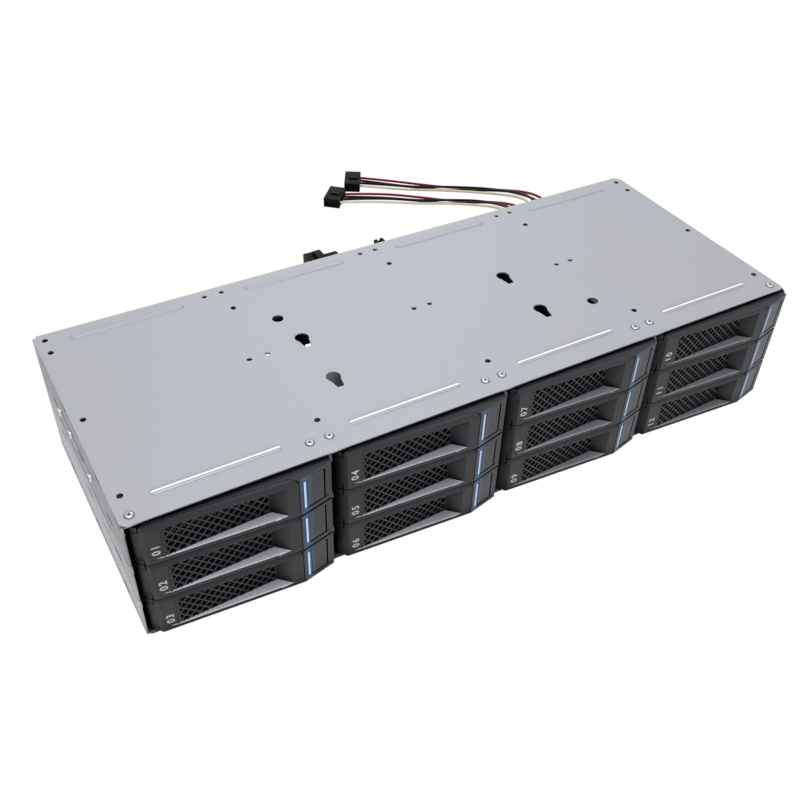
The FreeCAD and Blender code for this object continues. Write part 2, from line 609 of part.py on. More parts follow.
def make_carrier():
    """Moulded tray: front frame, two side rails with guide grooves, and a bar across the rear."""
    body = new_body("carrier_pattern")
    pad(body, "front_block", "XY", "0", "dims.face_height", [front_outline()])
    pivot_low = "(dims.knuckle_low - dims.ear_clearance)"
    pivot_span = "(dims.knuckle_high - dims.knuckle_low + 2 * dims.ear_clearance)"
    pivot_rear = "(dims.pivot_y + dims.knuckle_radius + dims.ear_clearance)"
    pivot_room = rectangle("0", "-dims.kink_out", f"({WINDOW_LEFT} + 0.5)", pivot_rear)
    pocket(body, "pivot_room", "XY", pivot_low, pivot_span, [pivot_room])
    hollow = "(dims.face_height - 2 * dims.shelf_wall)"
    pocket(body, "airway", "XY", "dims.shelf_wall", hollow, [airway_outline()])
    rail_start = "(dims.front_depth - 1)"
    for side, name in (("+", "left_rail"), ("-", "right_rail")):
        pad(body, name, "XZ", rail_start, f"{TRAY_REAR} - {rail_start}", [rail_profile(side)])
    bar_low = "(dims.rail_low - 0.6)"
    bar_right = f"({COLUMN_PITCH} - dims.rail_setback)"
    bar = rectangle("dims.rail_setback", bar_low, bar_right, f"({bar_low} + dims.rear_bar_height)")
    pad(body, "rear_bar", "XZ", f"({TRAY_REAR} - dims.rear_bar_depth)", "dims.rear_bar_depth", [bar])
    slot = rectangle(f"({PIPE_LEFT} - 0.1)", "(dims.pipe_low - 0.1)",
                     f"({PIPE_LEFT} + dims.pipe_width + 0.1)", "(dims.pipe_high + 0.1)")
    opening = rectangle(f"({BUTTON_LEFT} - dims.button_gap)", "(dims.button_low - dims.button_gap)",
                        f"({BUTTON_RIGHT} + dims.button_gap)", "(dims.button_high + dims.button_gap)")
    pocket(body, "front_openings", "XZ", "(-dims.kink_out - 1)", "dims.kink_out", [slot, opening])
    bore = [("dims.pivot_x", "dims.pivot_y", "(dims.pin_radius + dims.pin_play)")]
    pocket(body, "pin_bores", "XY", "1", "(dims.face_height - 2)", circles=bore)
    fixings = []
    for step in ("0", FIXING_SPACING):
        depth = f"(dims.drive_front + dims.fixing_first + {step})"
        fixings.append((depth, "dims.fixing_height", "dims.fixing_radius"))
    pocket(body, "drive_fixings", "YZ", "0", COLUMN_PITCH, circles=fixings)
    return body


def make_light_pipe():
    """Clear bar that carries the drive's lamp to the front, flush with the slanted face."""
    body = new_body("light_pipe_pattern")
    left = PIPE_LEFT
    right = f"({PIPE_LEFT} + dims.pipe_width)"
    rear = "(-dims.kink_out + dims.pipe_depth)"
    outline = [(left, end_y(left)), (right, end_y(right)), (right, rear), (left, rear)]
    pad(body, "pipe_bar", "XY", "dims.pipe_low", "dims.pipe_high - dims.pipe_low", [outline])
    return body


def make_handle():
    """Swing handle: moulded plate with a tapered finger recess whose rear wall is a diamond grille."""
    body = new_body("handle_pattern")
    tangent = "(dims.knuckle_radius / sqrt(2))"
    end = f"({KINK_X} - 0.8)"
    inner_end = f"({KINK_X} - 5.1)"
    neck = f"({WINDOW_LEFT} - 0.6)"
    plate = [("dims.corner_x", "-dims.corner_out"), (end, face_y(end)),
             (inner_end, face_y(inner_end, "dims.handle_wall")), (neck, face_y(neck, "dims.handle_wall")),
             ("(dims.pivot_x + 2.2)", "(dims.pivot_y - 0.9)"), ("dims.pivot_x", "dims.pivot_y"),
             (f"(dims.pivot_x - {tangent})", f"(dims.pivot_y - {tangent})")]
    blank = pad(body, "handle_plate", "XY", "0", "dims.face_height", [plate])
    doc.recompute()
    bevel = body.newObject("PartDesign::Chamfer", "top_bevel")
    bevel.Base = (blank, [top_front_edge(blank.Shape)])
    bevel.ChamferType = "Two distances"
    bevel.setExpression("Size", "dims.bevel_width")
    bevel.setExpression("Size2", "dims.bevel_height")
    knuckle = ("dims.pivot_x", "dims.pivot_y", "dims.knuckle_radius")
    sweep = ("dims.pivot_x", "dims.pivot_y", "dims.sweep_radius")
    pocket(body, "lower_ear_room", "XY", "-1", "(dims.knuckle_low + 1)", circles=[sweep])
    pocket(body, "upper_ear_room", "XY", "dims.knuckle_high", "(dims.face_height - dims.knuckle_high + 1)",
           circles=[sweep])
    knuckle_span = "(dims.knuckle_high - dims.knuckle_low)"
    pad(body, "knuckle", "XY", "dims.knuckle_low", knuckle_span, circles=[knuckle])
    shell_low = "(dims.recess_low - dims.grille_wall)"
    shell_span = "(dims.recess_high - dims.recess_low + 2 * dims.grille_wall)"
    shell_left = "(dims.recess_left + 14)"
    shell_right = f"({RECESS_RIGHT} - 0.5)"
    deep_x, deep_y = RECESS_DEEP_X, "-dims.recess_deep_y"
    shell = [(shell_left, face_y(shell_left, "1")), (shell_right, face_y(shell_right, "1")),
             (f"({shell_right} + 1.1)", face_y(f"({shell_right} + 1.1)", "2.4")),
             (f"({deep_x} + 1.0)", f"({deep_y} + 0.8)"),
             (f"({deep_x} + 0.1)", f"({deep_y} + dims.grille_wall)"),
             (shell_left, grille_y(shell_left, "dims.grille_wall"))]
    pad(body, "recess_shell", "XY", shell_low, shell_span, [shell])
    pocket_span = "(dims.recess_high - dims.recess_low)"
    recess = [("dims.recess_left", face_y("dims.recess_left")), (deep_x, deep_y),
              (RECESS_RIGHT, face_y(RECESS_RIGHT)),
              (RECESS_RIGHT, face_y(RECESS_RIGHT, "-2")),
              ("dims.recess_left", face_y("dims.recess_left", "-2"))]
    pocket(body, "finger_recess", "XY", "dims.recess_low", pocket_span, [recess])
    relief_left = "(dims.recess_left + 2)"
    relief_right = "(dims.recess_left + 16.5)"
    relief = [(relief_left, grille_y(relief_left, "dims.grille_wall")),
              (relief_right, grille_y(relief_right, "dims.grille_wall")),
              (relief_right, "1"), (relief_left, "1")]
    pocket(body, "grille_relief", "XY", "dims.recess_low", pocket_span, [relief])
    hook_left, hook_stem = HOOK_X, f"({HOOK_X} + dims.hook_wall)"
    hook = [(hook_left, face_y(hook_left, "2")), (hook_stem, face_y(hook_stem, "2")),
            (hook_stem, "(dims.hook_end - dims.hook_nose)"), (HOOK_TIP, "(dims.hook_end - dims.hook_nose)"),
            (HOOK_TIP, "dims.hook_end"), (hook_left, "dims.hook_end")]
    pad(body, "latch_hook", "XY", LATCH_LOW, "dims.latch_height", [hook])
    pins = ("dims.pivot_x", "dims.pivot_y", "dims.pin_radius")
    pad(body, "pivot_pins", "XY", "1.2", "(dims.face_height - 2.4)", circles=[pins])
    add_mesh(body)
    return body


def top_front_edge(shape):
    """Name of the long upper edge of the handle's front face."""
    longest = None
    for index, edge in enumerate(shape.Edges, start=1):
        level = min(vertex.Z for vertex in edge.Vertexes)
        ahead = edge.CenterOfMass.y
        if level > evaluate("dims.face_height") - 0.01 and edge.Length > 50:
            if longest is None or ahead < longest[1]:
                longest = (f"Edge{index}", ahead)
    return longest[0]


def diamond(x, z):
    """Square opening that stands on its corner."""
    reach = "(dims.mesh_pitch / 2 - dims.mesh_web / sqrt(2))"
    return [(f"({x} - {reach})", z), (x, f"({z} - {reach})"),
            (f"({x} + {reach})", z), (x, f"({z} + {reach})")]


def add_mesh(body):
    """Grille openings: two staggered diamonds, repeated along and up the grille."""
    first = diamond("dims.mesh_left", "dims.mesh_low")
    second = diamond("(dims.mesh_left + dims.mesh_pitch / 2)", "(dims.mesh_low + dims.mesh_pitch / 2)")
    opening = pocket(body, "mesh_opening", "XZ", "-6", "7.5", [first, second])
    doc.recompute()
    repeat = body.newObject("PartDesign::MultiTransform", "mesh")
    repeat.Originals = [opening]
    rows = []
    for name, axis, count in (("mesh_along", "H_Axis", MESH_COLUMNS), ("mesh_up", "V_Axis", MESH_ROWS)):
        pattern = body.newObject("PartDesign::LinearPattern", name)
        pattern.Direction = (opening.Profile[0], [axis])
        pattern.Occurrences = count
        pattern.setExpression("Length", f"{count - 1} * dims.mesh_pitch")
        rows.append(pattern)
    repeat.Transformations = rows
    body.Tip = repeat


MESH_COLUMNS = math.floor(evaluate(f"({RECESS_DEEP_X} - dims.mesh_left) / dims.mesh_pitch"))
MESH_ROWS = 2


def make_button():
    """Release button flush with the slanted face, with the latch tongue behind it."""
    body = new_body("button_pattern")
    left, right = BUTTON_LEFT, BUTTON_RIGHT
    face = [(left, end_y(left)), (right, end_y(right)), (right, end_y(right, "dims.button_wall")),
            (left, end_y(left, "dims.button_wall"))]
    pad(body, "button_face", "XY", "dims.button_low", "(dims.button_high - dims.button_low)", [face])
    stem_left, stem_right = f"({BUTTON_LEFT} + 0.7)", f"({BUTTON_LEFT} + 3.1)"
    tip = f"({HOOK_TIP} + dims.latch_gap)"
    tongue = [(stem_left, end_y(stem_left, "1")), (stem_right, end_y(stem_right, "1")), (stem_right, "0.6"),
              (tip, "0.6"), (tip, "-1.2"), (stem_left, "-1.2")]
    pad(body, "latch_tongue", "XY", LATCH_LOW, "dims.latch_height", [tongue])
    return body


# ---------------------------------------------------------------- backplane

def make_board():
    """Circuit board behind the cage, with an air window beside and above each drive socket."""
    body = new_body("backplane_board")
    low, high = "1.5", f"({CAGE_HEIGHT} - 0.4)"
    outline = rectangle("dims.board_margin", low, f"({CAGE_WIDTH} - dims.board_margin)", high)
    pad(body, "board_blank", "XZ", "0", "dims.board_wall", [outline])
    vents = []
    for column in range(COLUMNS):
        for row in range(ROWS):
            x = f"({column} * {COLUMN_PITCH})"
            z = bay_z(row)
            beside = f"({x} + dims.socket_x + dims.socket_width / 2 + 6)"
            above = f"({x} + dims.socket_x - dims.vent_width / 2)"
            for left, base in ((beside, f"({z} + 6)"), (above, f"({z} + 12)")):
                right, high = f"({left} + dims.vent_width)", f"({base} + dims.vent_height)"
                vents.append(rectangle(left, base, right, high))
    pocket(body, "board_vents", "XZ", "-1", "(dims.board_wall + 2)", vents)
    holes = [(x, z, "dims.board_hole_radius") for x, z in board_screw_places()]
    pocket(body, "board_holes", "XZ", "-1", "(dims.board_wall + 2)", circles=holes)
    place(body, LEFT, f"{CAGE_DEPTH} / 2", "0")
    return body


def board_screw_places():
    columns = ["dims.hole_inset"]
    columns += [f"({line} - dims.joint_offset)" for line in divider_lines()]
    columns += [f"({CAGE_WIDTH} - dims.hole_inset)"]
    return [(x, f"({z} + dims.gauge)") for x in columns for z in board_screw_heights()]


def make_socket():
    """Drive socket of the board: a housing with a blade slot that opens to the front."""
    body = new_body("socket_pattern")
    front = "(dims.drive_front + dims.drive_length + dims.socket_gap)"
    left, right = "(dims.socket_x - dims.socket_width / 2)", "(dims.socket_x + dims.socket_width / 2)"
    shell = rectangle(left, "dims.socket_low", right, "(dims.socket_low + dims.socket_height)")
    pad(body, "socket_shell", "XZ", front, f"({CAGE_DEPTH} - {front})", [shell])
    middle = "(dims.socket_low + dims.socket_height / 2)"
    blade = rectangle(f"({left} + 4)", f"({middle} - 1.5)", f"({right} - 4)", f"({middle} + 1.5)")
    pocket(body, "blade_slot", "XZ", f"({front} - 1)", "6", [blade])
    return body


def make_data_port():
    """Board to cable port with a mouth that opens to the rear."""
    body = new_body("data_port_pattern")
    pad(body, "port_shell", "XZ", "0", "11", [rectangle("-9", "-4.5", "9", "4.5")])
    pocket(body, "port_mouth", "XZ", "3", "9", [rectangle("-7.6", "-3.2", "7.6", "3.2")])
    return body


def make_signal_connector():
    """Keyed housing near the board's top edge, with a lower latch bar beside it."""
    body = new_body("signal_connector_pattern")
    pad(body, "housing", "XZ", "0", "20.5", [rectangle("-34.5", "65", "-22", "76.5")])
    pad(body, "housing_key", "XZ", "6", "12", [rectangle("-28.5", "76", "-23.5", "78.4")])
    pad(body, "latch_bar", "XZ", "0", "17", [rectangle("-22.2", "69.5", "-11.5", "74.6")])
    return body


def make_small_header():
    """Two-way header near the board's top edge."""
    body = new_body("small_header_pattern")
    pad(body, "header_block", "XZ", "0", "12.4", [rectangle("15.4", "73.6", "22", "78.2")])
    pocket(body, "header_key", "XZ", "5", "9", [rectangle("17.6", "76.6", "19.8", "79")])
    return body


def make_power_header():
    """Shrouded four-way header, with the lead's crimp housing seated in it."""
    body = new_body("power_header_pattern")
    half = "(dims.header_width / 2)"
    shroud = rectangle(f"-{half}", "-4.6", half, "4.6")
    pad(body, "shroud", "XZ", "0", "(dims.header_depth - 3)", [shroud])
    housing = rectangle(f"(1.2 - {half})", "-3.4", f"({half} - 1.2)", "3.4")
    pad(body, "crimp_housing", "XZ", "(dims.header_depth - 3)", "3", [housing])
    pad(body, "header_latch", "XZ", "2", "6", [rectangle("-2.4", "4.4", "2.4", "6")])
    return body


def make_plug():
    """Four-way plug at the end of a lead: its wires enter at +X."""
    body = new_body("plug_pattern")
    half = "(dims.plug_length / 2)"
    wide = "(dims.plug_width / 2)"
    pad(body, "plug_shell", "XY", "0", "dims.plug_height", [rectangle(f"-{half}", f"-{wide}", half, wide)])
    pins = [(f"({number} * dims.plug_pitch)", "(dims.plug_height / 2)", "dims.contact_radius")
            for number in (-1.5, -0.5, 0.5, 1.5)]
    pocket(body, "contacts", "YZ", f"(-1 - {half})", "8", circles=pins)
    pad(body, "plug_latch", "XY", "(dims.plug_height - 0.2)", "1.2", [rectangle("-3", "-3", "5", "3")])
    return body


# ---------------------------------------------------------------- fasteners

def screw(direction):
    """Pan head screw at the origin; its head points along the direction."""
    head = Part.makeCylinder(evaluate("dims.screw_head"), evaluate("dims.screw_head_height"),
                             FreeCAD.Vector(0, 0, 0), direction)
    shank = Part.makeCylinder(evaluate("dims.screw_shank"), evaluate("2 * dims.gauge"),
                              FreeCAD.Vector(0, 0, 0), -direction)
    return head.fuse(shank).removeSplitter()


def make_cage_screws():
    up = FreeCAD.Vector(0, 0, 1)
    joints = flange_joints(("dims.joint_front_y",)) + edge_holes(("dims.corner_screw_y",))
    shapes = []
    upper = screw(up)
    length = evaluate("2 * dims.gauge")
    lower = Part.makeCylinder(evaluate("dims.screw_shank"), length, FreeCAD.Vector(0, 0, 0), up)
    for x, y in joints:
        shapes.append(moved(upper, f"{LEFT} + {x}", f"{FRONT} + {y}", CAGE_HEIGHT))
        shapes.append(moved(lower, f"{LEFT} + {x}", f"{FRONT} + {y}", "0"))
    for x, way in ((LEFT, -1), (f"-{LEFT}", 1)):
        piece = side_screw(FreeCAD.Vector(way, 0, 0))
        for y, drop in SIDE_SCREWS:
            shapes.append(moved(piece, x, f"{FRONT} + {y}", f"{CAGE_HEIGHT} - dims.gauge - {drop}"))
    return group_of(shapes, "cage_screws")


def side_screw(direction):
    """Pan head screw in a side wall; the shank ends inside the wall."""
    head = Part.makeCylinder(evaluate("dims.screw_head"), evaluate("dims.screw_head_height"),
                             FreeCAD.Vector(0, 0, 0), direction)
    shank = Part.makeCylinder(evaluate("dims.screw_shank"), evaluate("dims.gauge"),
                              FreeCAD.Vector(0, 0, 0), -direction)
    return head.fuse(shank).removeSplitter()


def make_board_screws():
    head = Part.makeCylinder(evaluate("dims.screw_head"), evaluate("dims.screw_head_height"),
                             FreeCAD.Vector(0, 0, 0), FreeCAD.Vector(0, 1, 0))
    shank = Part.makeCylinder(evaluate("dims.screw_shank"), evaluate("dims.board_wall + dims.gauge"),
                              FreeCAD.Vector(0, 0, 0), FreeCAD.Vector(0, -1, 0))
    piece = head.fuse(shank).removeSplitter()
    rear = f"{FRONT} + {BOARD_REAR}"
    return group_of([moved(piece, f"{LEFT} + {x}", rear, z) for x, z in board_screw_places()], "board_screws")


# ---------------------------------------------------------------- harness

# Each lead's middle line between header and plug: beside and behind the header's exit, above the floor.
LEAD_ROUTES = {
    "inner": [(4.0, 19.45, 55.5), (14.0, 47.45, 44.0), (14.0, 79.45, 31.5), (2.0, 112.45, 18.5),
              (-11.0, 142.45, 8.5), (-35.0, 170.45, 4.0)],
    "outer": [(4.0, 20.45, 56.0), (14.0, 52.45, 46.0), (10.0, 89.45, 33.0), (-13.0, 129.45, 21.0),
              (-27.0, 163.45, 10.0), (-42.0, 188.45, 4.8)],
}
# Places and turns of the plugs, measured from the same point.
PLUGS = {"inner": (-69.5, 187.95, -42.0), "outer": (-65.0, 206.45, -30.0)}
# Part of the shorter of two runs that the arc between them takes.
ARC_SHARE = 0.45
# Wire to wire at each point of a lead, and how far each wire lies above its lead's middle line.
LEAD_SPREAD = [5.08, 4.2, 2.9, 3.1, 2.9, 3.0, 3.9, 5.0]
WIRE_RISE = {
    "yellow": [0.0, -0.6, -1.2, -0.8, 0.6, -0.8, -0.9, 0.0],
    "black_a": [0.0, 0.5, 1.6, 1.1, -1.3, 0.9, 0.4, 0.0],
    "black_b": [0.0, -0.4, -1.1, 0.9, 1.5, -0.7, -0.6, 0.0],
    "red": [0.0, 0.7, 1.3, -1.0, -0.7, 1.2, 0.8, 0.0],
}


def header_exit(lead):
    """Point where a lead leaves its header."""
    step = list(LEAD_ROUTES).index(lead)
    x = evaluate(f"{HEADER_LEFT_X} + {step} * dims.header_spacing")
    y = evaluate(f"{FRONT} + {BOARD_REAR} + dims.header_depth")
    return FreeCAD.Vector(x, y, evaluate("dims.header_height"))


def plug_place(lead):
    x, y, turn = PLUGS[lead]
    start = header_exit(lead)
    spin = FreeCAD.Rotation(FreeCAD.Vector(0, 0, 1), turn)
    return FreeCAD.Placement(FreeCAD.Vector(start.x + x, start.y + y, 0), spin)


def lead_line(lead):
    """Points of a lead's middle line, from the header to the face of the plug."""
    start = header_exit(lead)
    between = [FreeCAD.Vector(start.x + x, start.y + y, z) for x, y, z in LEAD_ROUTES[lead]]
    entry = FreeCAD.Vector(evaluate("dims.plug_length / 2"), 0, evaluate("dims.plug_height / 2"))
    return [start] + between + [plug_place(lead).multVec(entry)]


def wire_route(lead, wire):
    """Points of one wire: the lead's middle line moved sideways and up by the wire's place in it."""
    line = lead_line(lead)
    place_in_lead = list(WIRE_RISE).index(wire) - (len(WIRE_RISE) - 1) / 2
    points = []
    for index, point in enumerate(line):
        ahead = line[min(index + 1, len(line) - 1)] - line[max(index - 1, 0)]
        if index == 0:
            ahead = FreeCAD.Vector(0, 1, 0)
        if index == len(line) - 1:
            ahead = plug_place(lead).Rotation.multVec(FreeCAD.Vector(-1, 0, 0))
        aside = FreeCAD.Vector(ahead.y, -ahead.x, 0).normalize()
        rise = FreeCAD.Vector(0, 0, WIRE_RISE[wire][index])
        points.append(point + aside * (place_in_lead * LEAD_SPREAD[index]) + rise)
    return points


def make_tube(points, radius):
    """Round bar along straight runs joined by tangent arcs, with its length and its least bend radius."""
    section = Part.makeCircle(radius, points[0], points[1] - points[0])
    faces = [Part.Face(Part.Wire(section))]
    start = points[0]
    length = 0.0
    bends = []
    for before, corner, after in zip(points, points[1:], points[2:]):
        back = before - corner
        forth = after - corner
        trim = ARC_SHARE * min(back.Length, forth.Length)
        turn = math.pi - back.getAngle(forth)
        back.normalize()
        forth.normalize()
        bend = trim / math.tan(turn / 2)
        run = corner + back * trim - start
        faces.append(section.extrude(run))
        section = section.translated(run)
        centre = corner + (back + forth).normalize() * (bend / math.cos(turn / 2))
        axis = forth.cross(back).normalize()
        faces.append(section.revolve(centre, axis, math.degrees(turn)))
        section = section.rotated(centre, axis, math.degrees(turn))
        start = corner + forth * trim
        length += run.Length + bend * turn
        bends.append(bend)
    run = points[-1] - start
    faces.append(section.extrude(run))
    faces.append(Part.Face(Part.Wire(section.translated(run))))
    shell = Part.makeShell(faces)
    shell.sewShape()
    solid = Part.makeSolid(shell)
    if solid.Volume < 0:
        solid.reverse()
    return solid, length + run.Length, min(bends)


def make_wire(lead, wire):
    name = f"wire_{lead}_{wire}"
    radius = evaluate("dims.wire_diameter / 2")
    tube, length, bend = make_tube(wire_route(lead, wire), radius)
    share = tube.Volume / (math.pi * radius ** 2 * length)
    print(f"{name}: length {length:.0f}, least radius {bend:.0f}, volume {share:.3f} of section times length")
    piece = doc.addObject("Part::Feature", name)
    piece.Label = name
    piece.Shape = tube
    return piece


# ---------------------------------------------------------------- assembly

def tray_name(kind, row, column):
    """Rows are numbered from the top and columns from the left."""
    return f"{kind}_r{ROWS - row}_c{column + 1}"


def build_all():
    pieces = [make_top_plate(), make_bottom_plate(), make_side_plate("side_plate_left", "+"),
              make_side_plate("side_plate_right", "-"), make_board()]
    patterns = {"divider": make_divider(), "carrier": make_carrier(), "light_pipe": make_light_pipe(),
                "handle": make_handle(), "button": make_button(), "socket": make_socket(),
                "data_port": make_data_port(), "signal": make_signal_connector(),
                "small": make_small_header(), "power": make_power_header(), "plug": make_plug()}
    doc.recompute()
    for number, line in enumerate(divider_lines(), start=1):
        name = f"divider_{number}"
        pieces.append(copy_of(patterns["divider"], name, f"{LEFT} + {line}", FRONT, "dims.gauge"))
    tray = doc.addObject("Part::Compound", "tray_pattern")
    tray.Links = [patterns["carrier"], patterns["light_pipe"]]
    doc.recompute()
    masters = {"tray": tray, "handle": patterns["handle"], "release_button": patterns["button"]}
    for row in range(ROWS):
        for column in range(COLUMNS):
            for kind, master in masters.items():
                name = tray_name(kind, row, column)
                pieces.append(copy_of(master, name, bay_x(column), FRONT, bay_z(row)))
    sockets = []
    for row in range(ROWS):
        for column in range(COLUMNS):
            sockets.append(moved(patterns["socket"].Shape, bay_x(column), FRONT, bay_z(row)))
    pieces.append(group_of(sockets, "drive_sockets"))
    rear = f"({FRONT} + {BOARD_REAR})"
    ports = [moved(patterns["data_port"].Shape, x, rear, "42") for x in ("-150", "-70", "60")]
    pieces.append(group_of(ports, "data_ports"))
    signals = [moved(patterns[name].Shape, "0", rear, "0") for name in ("signal", "small")]
    pieces.append(group_of(signals, "signal_connectors"))
    headers = []
    for step in (0, 1):
        x = f"({HEADER_LEFT_X} + {step} * dims.header_spacing)"
        headers.append(moved(patterns["power"].Shape, x, rear, "dims.header_height"))
    pieces.append(group_of(headers, "power_headers"))
    pieces += [make_cage_screws(), make_board_screws()]
    for lead in PLUGS:
        plug = copy_of(patterns["plug"], f"plug_{lead}")
        for axis in "xyz":
            plug.setExpression(f"Placement.Base.{axis}", None)
        plug.Placement = plug_place(lead)
        pieces.append(plug)
        for wire in WIRE_RISE:
            pieces.append(make_wire(lead, wire))
    doc.recompute()
    return pieces


def check_features():
    """Every feature adds or removes material, and nothing in the document failed."""
    for item in doc.Objects:
        if "Invalid" in item.State or "Error" in item.State:
            raise RuntimeError(f"{item.Name} failed: {item.State}")
    for body in doc.findObjects("PartDesign::Body"):
        volume = 0.0
        for feature in body.Group:
            if not feature.isDerivedFrom("PartDesign::Feature"):
                continue
            if feature.Shape.isNull() or feature.isDerivedFrom("PartDesign::LinearPattern"):
                continue
            if abs(feature.Shape.Volume - volume) < 1e-3:
                raise RuntimeError(f"{body.Label}: {feature.Name} changed nothing")
            volume = feature.Shape.Volume


def export(pieces):
    os.makedirs("parts", exist_ok=True)
    triangles = 0
    for piece in pieces:
        shape = piece.Shape
        if shape.isNull() or not shape.isValid() or not shape.Solids:
            raise RuntimeError(f"{piece.Label} has no valid solid")
        shape.exportStep(f"parts/{piece.Label}.step")
        count = len(shape.tessellate(0.1)[1])
        triangles += count
    print(f"{len(pieces)} pieces, {triangles} triangles at 0.1 mm")


pieces = build_all()
check_features()
export(pieces)
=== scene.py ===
"""Studio scene of a hot swap drive cage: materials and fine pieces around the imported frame.

Sizes are in metres through MM, except that names ending in _MM hold plain millimetres. The object follows from
its shell to its trays, their handles, buttons and screws, its board and its power leads.
"""

import math

import bmesh
import bpy
from mathutils import Matrix, Vector


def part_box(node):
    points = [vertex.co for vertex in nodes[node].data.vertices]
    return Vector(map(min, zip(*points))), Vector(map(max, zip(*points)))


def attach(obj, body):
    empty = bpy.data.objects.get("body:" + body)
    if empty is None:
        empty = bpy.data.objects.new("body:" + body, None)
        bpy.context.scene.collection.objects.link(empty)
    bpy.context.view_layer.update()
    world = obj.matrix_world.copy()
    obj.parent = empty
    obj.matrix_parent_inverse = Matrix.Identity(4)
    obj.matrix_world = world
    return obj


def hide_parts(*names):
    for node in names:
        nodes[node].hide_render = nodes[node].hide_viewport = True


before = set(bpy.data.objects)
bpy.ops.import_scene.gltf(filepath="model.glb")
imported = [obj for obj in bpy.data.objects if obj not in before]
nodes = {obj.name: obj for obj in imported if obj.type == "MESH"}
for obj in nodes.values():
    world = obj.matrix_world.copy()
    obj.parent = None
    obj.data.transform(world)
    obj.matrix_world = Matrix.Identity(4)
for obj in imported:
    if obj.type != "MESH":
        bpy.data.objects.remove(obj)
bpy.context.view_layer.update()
MM = 0.001


# ---------------------------------------------------------------------------
# Studio. A pale floor that runs to white, and a camera that looks down on the
# cage from the front left. Broad lamps stand for soft boxes.

CAMERA_PLACE = Vector((-261.0, -405.6, 423.0)) * MM
CAMERA_HEADING = 31.223
CAMERA_PITCH = -41.610
CAMERA_ROLL = 2.114
CAMERA_LENS = 42.993
CAMERA_SHIFT = (-0.0035, 0.0249)
FLOOR_COLOUR = "F4F4F4"
FLOOR_GLOW = 0.97
FLOOR_BRIGHTNESS = 1.02
FLOOR_HALF = 6
FLOOR_DROP = 0.5 * MM
WORLD_LIGHT = 0.36
WHITE = (1, 1, 1, 1)
BLACK = (0, 0, 0, 1)


def into_scene(name, data):
    """Object in the scene around a mesh, a curve, a lamp or a camera."""
    made = bpy.data.objects.new(name, data)
    bpy.context.scene.collection.objects.link(made)
    return made


def mesh_of(shape, name, materials=()):
    """Mesh with its material slots from a finished bmesh, which is freed."""
    mesh = bpy.data.meshes.new(name)
    shape.to_mesh(mesh)
    shape.free()
    for material in materials:
        mesh.materials.append(material)
    return mesh


def linear(code):
    """Linear colour of an sRGB hex value such as B9BABF."""
    channels = [int(code[i:i + 2], 16) / 255 for i in (0, 2, 4)]
    return [c / 12.92 if c <= 0.04045 else ((c + 0.055) / 1.055) ** 2.4 for c in channels] + [1.0]


def add(tree, kind, inputs=None, **settings):
    """Adds a node. Each of its inputs gets a plain value or another node's output."""
    made = tree.nodes.new(kind)
    for name, value in settings.items():
        setattr(made, name, value)
    for name, value in (inputs or {}).items():
        if isinstance(value, bpy.types.NodeSocket):
            tree.links.new(value, made.inputs[name])
        else:
            made.inputs[name].default_value = value
    return made


def maths(tree, operation, *operands):
    """Result of a Math node; each operand is a number or another node's output."""
    return add(tree, "ShaderNodeMath", dict(enumerate(operands)), operation=operation).outputs[0]


def between(tree, factor, low, high):
    """Value that runs from low to high as the factor runs from 0 to 1."""
    return add(tree, "ShaderNodeMapRange", {"Value": factor, "To Min": low, "To Max": high}).outputs[0]


def new_material(name):
    """Material with an empty node tree."""
    made = bpy.data.materials.new(name)
    made.use_nodes = True
    made.node_tree.nodes.clear()
    return made, made.node_tree


def finish_surface(tree, shader):
    """Sends a shader to the material's surface."""
    add(tree, "ShaderNodeOutputMaterial", {"Surface": shader.outputs[0]})


def seen_directly(tree):
    """1 for a ray of the camera, of a gloss or through something clear, else 0; for the floor and the world."""
    rays = add(tree, "ShaderNodeLightPath").outputs
    seen = maths(tree, "MAXIMUM", rays["Is Camera Ray"], rays["Is Glossy Ray"])
    return maths(tree, "MAXIMUM", seen, rays["Is Transmission Ray"])


def soft_box(name, place, aim, size, power, colour=(1, 1, 1)):
    """Area lamp at place that faces aim."""
    lamp_data = bpy.data.lights.new(name, "AREA")
    lamp_data.color = colour
    lamp_data.size = size
    lamp_data.energy = power
    lamp = into_scene(name, lamp_data)
    lamp.location = place
    lamp.rotation_euler = (Vector(aim) - Vector(place)).to_track_quat("-Z", "Y").to_euler()


turn = (Matrix.Rotation(math.radians(-CAMERA_HEADING), 4, "Z")
        @ Matrix.Rotation(math.radians(90 + CAMERA_PITCH), 4, "X")
        @ Matrix.Rotation(math.radians(CAMERA_ROLL), 4, "Z"))
camera_data = bpy.data.cameras.new("camera")
camera_data.lens = CAMERA_LENS
camera_data.sensor_width = 36
camera_data.shift_x, camera_data.shift_y = CAMERA_SHIFT
camera_data.clip_start = 0.01
camera = into_scene("camera", camera_data)
camera.matrix_world = Matrix.Translation(CAMERA_PLACE) @ turn
bpy.context.scene.camera = camera
bpy.context.scene.view_settings.view_transform = "Standard"

floor_paint, tree = new_material("white_floor")
card = add(tree, "ShaderNodeBsdfDiffuse", {"Color": linear(FLOOR_COLOUR)})
glow = add(tree, "ShaderNodeEmission", {"Color": WHITE, "Strength": FLOOR_BRIGHTNESS})
share = maths(tree, "MULTIPLY", seen_directly(tree), FLOOR_GLOW)
finish_surface(tree, add(tree, "ShaderNodeMixShader", {0: share, 1: card.outputs[0], 2: glow.outputs[0]}))

shape = bmesh.new()
bmesh.ops.create_grid(shape, x_segments=1, y_segments=1, size=FLOOR_HALF)
bmesh.ops.translate(shape, verts=shape.verts, vec=(0, 0, -FLOOR_DROP))
floor = into_scene("floor", mesh_of(shape, "floor", [floor_paint]))

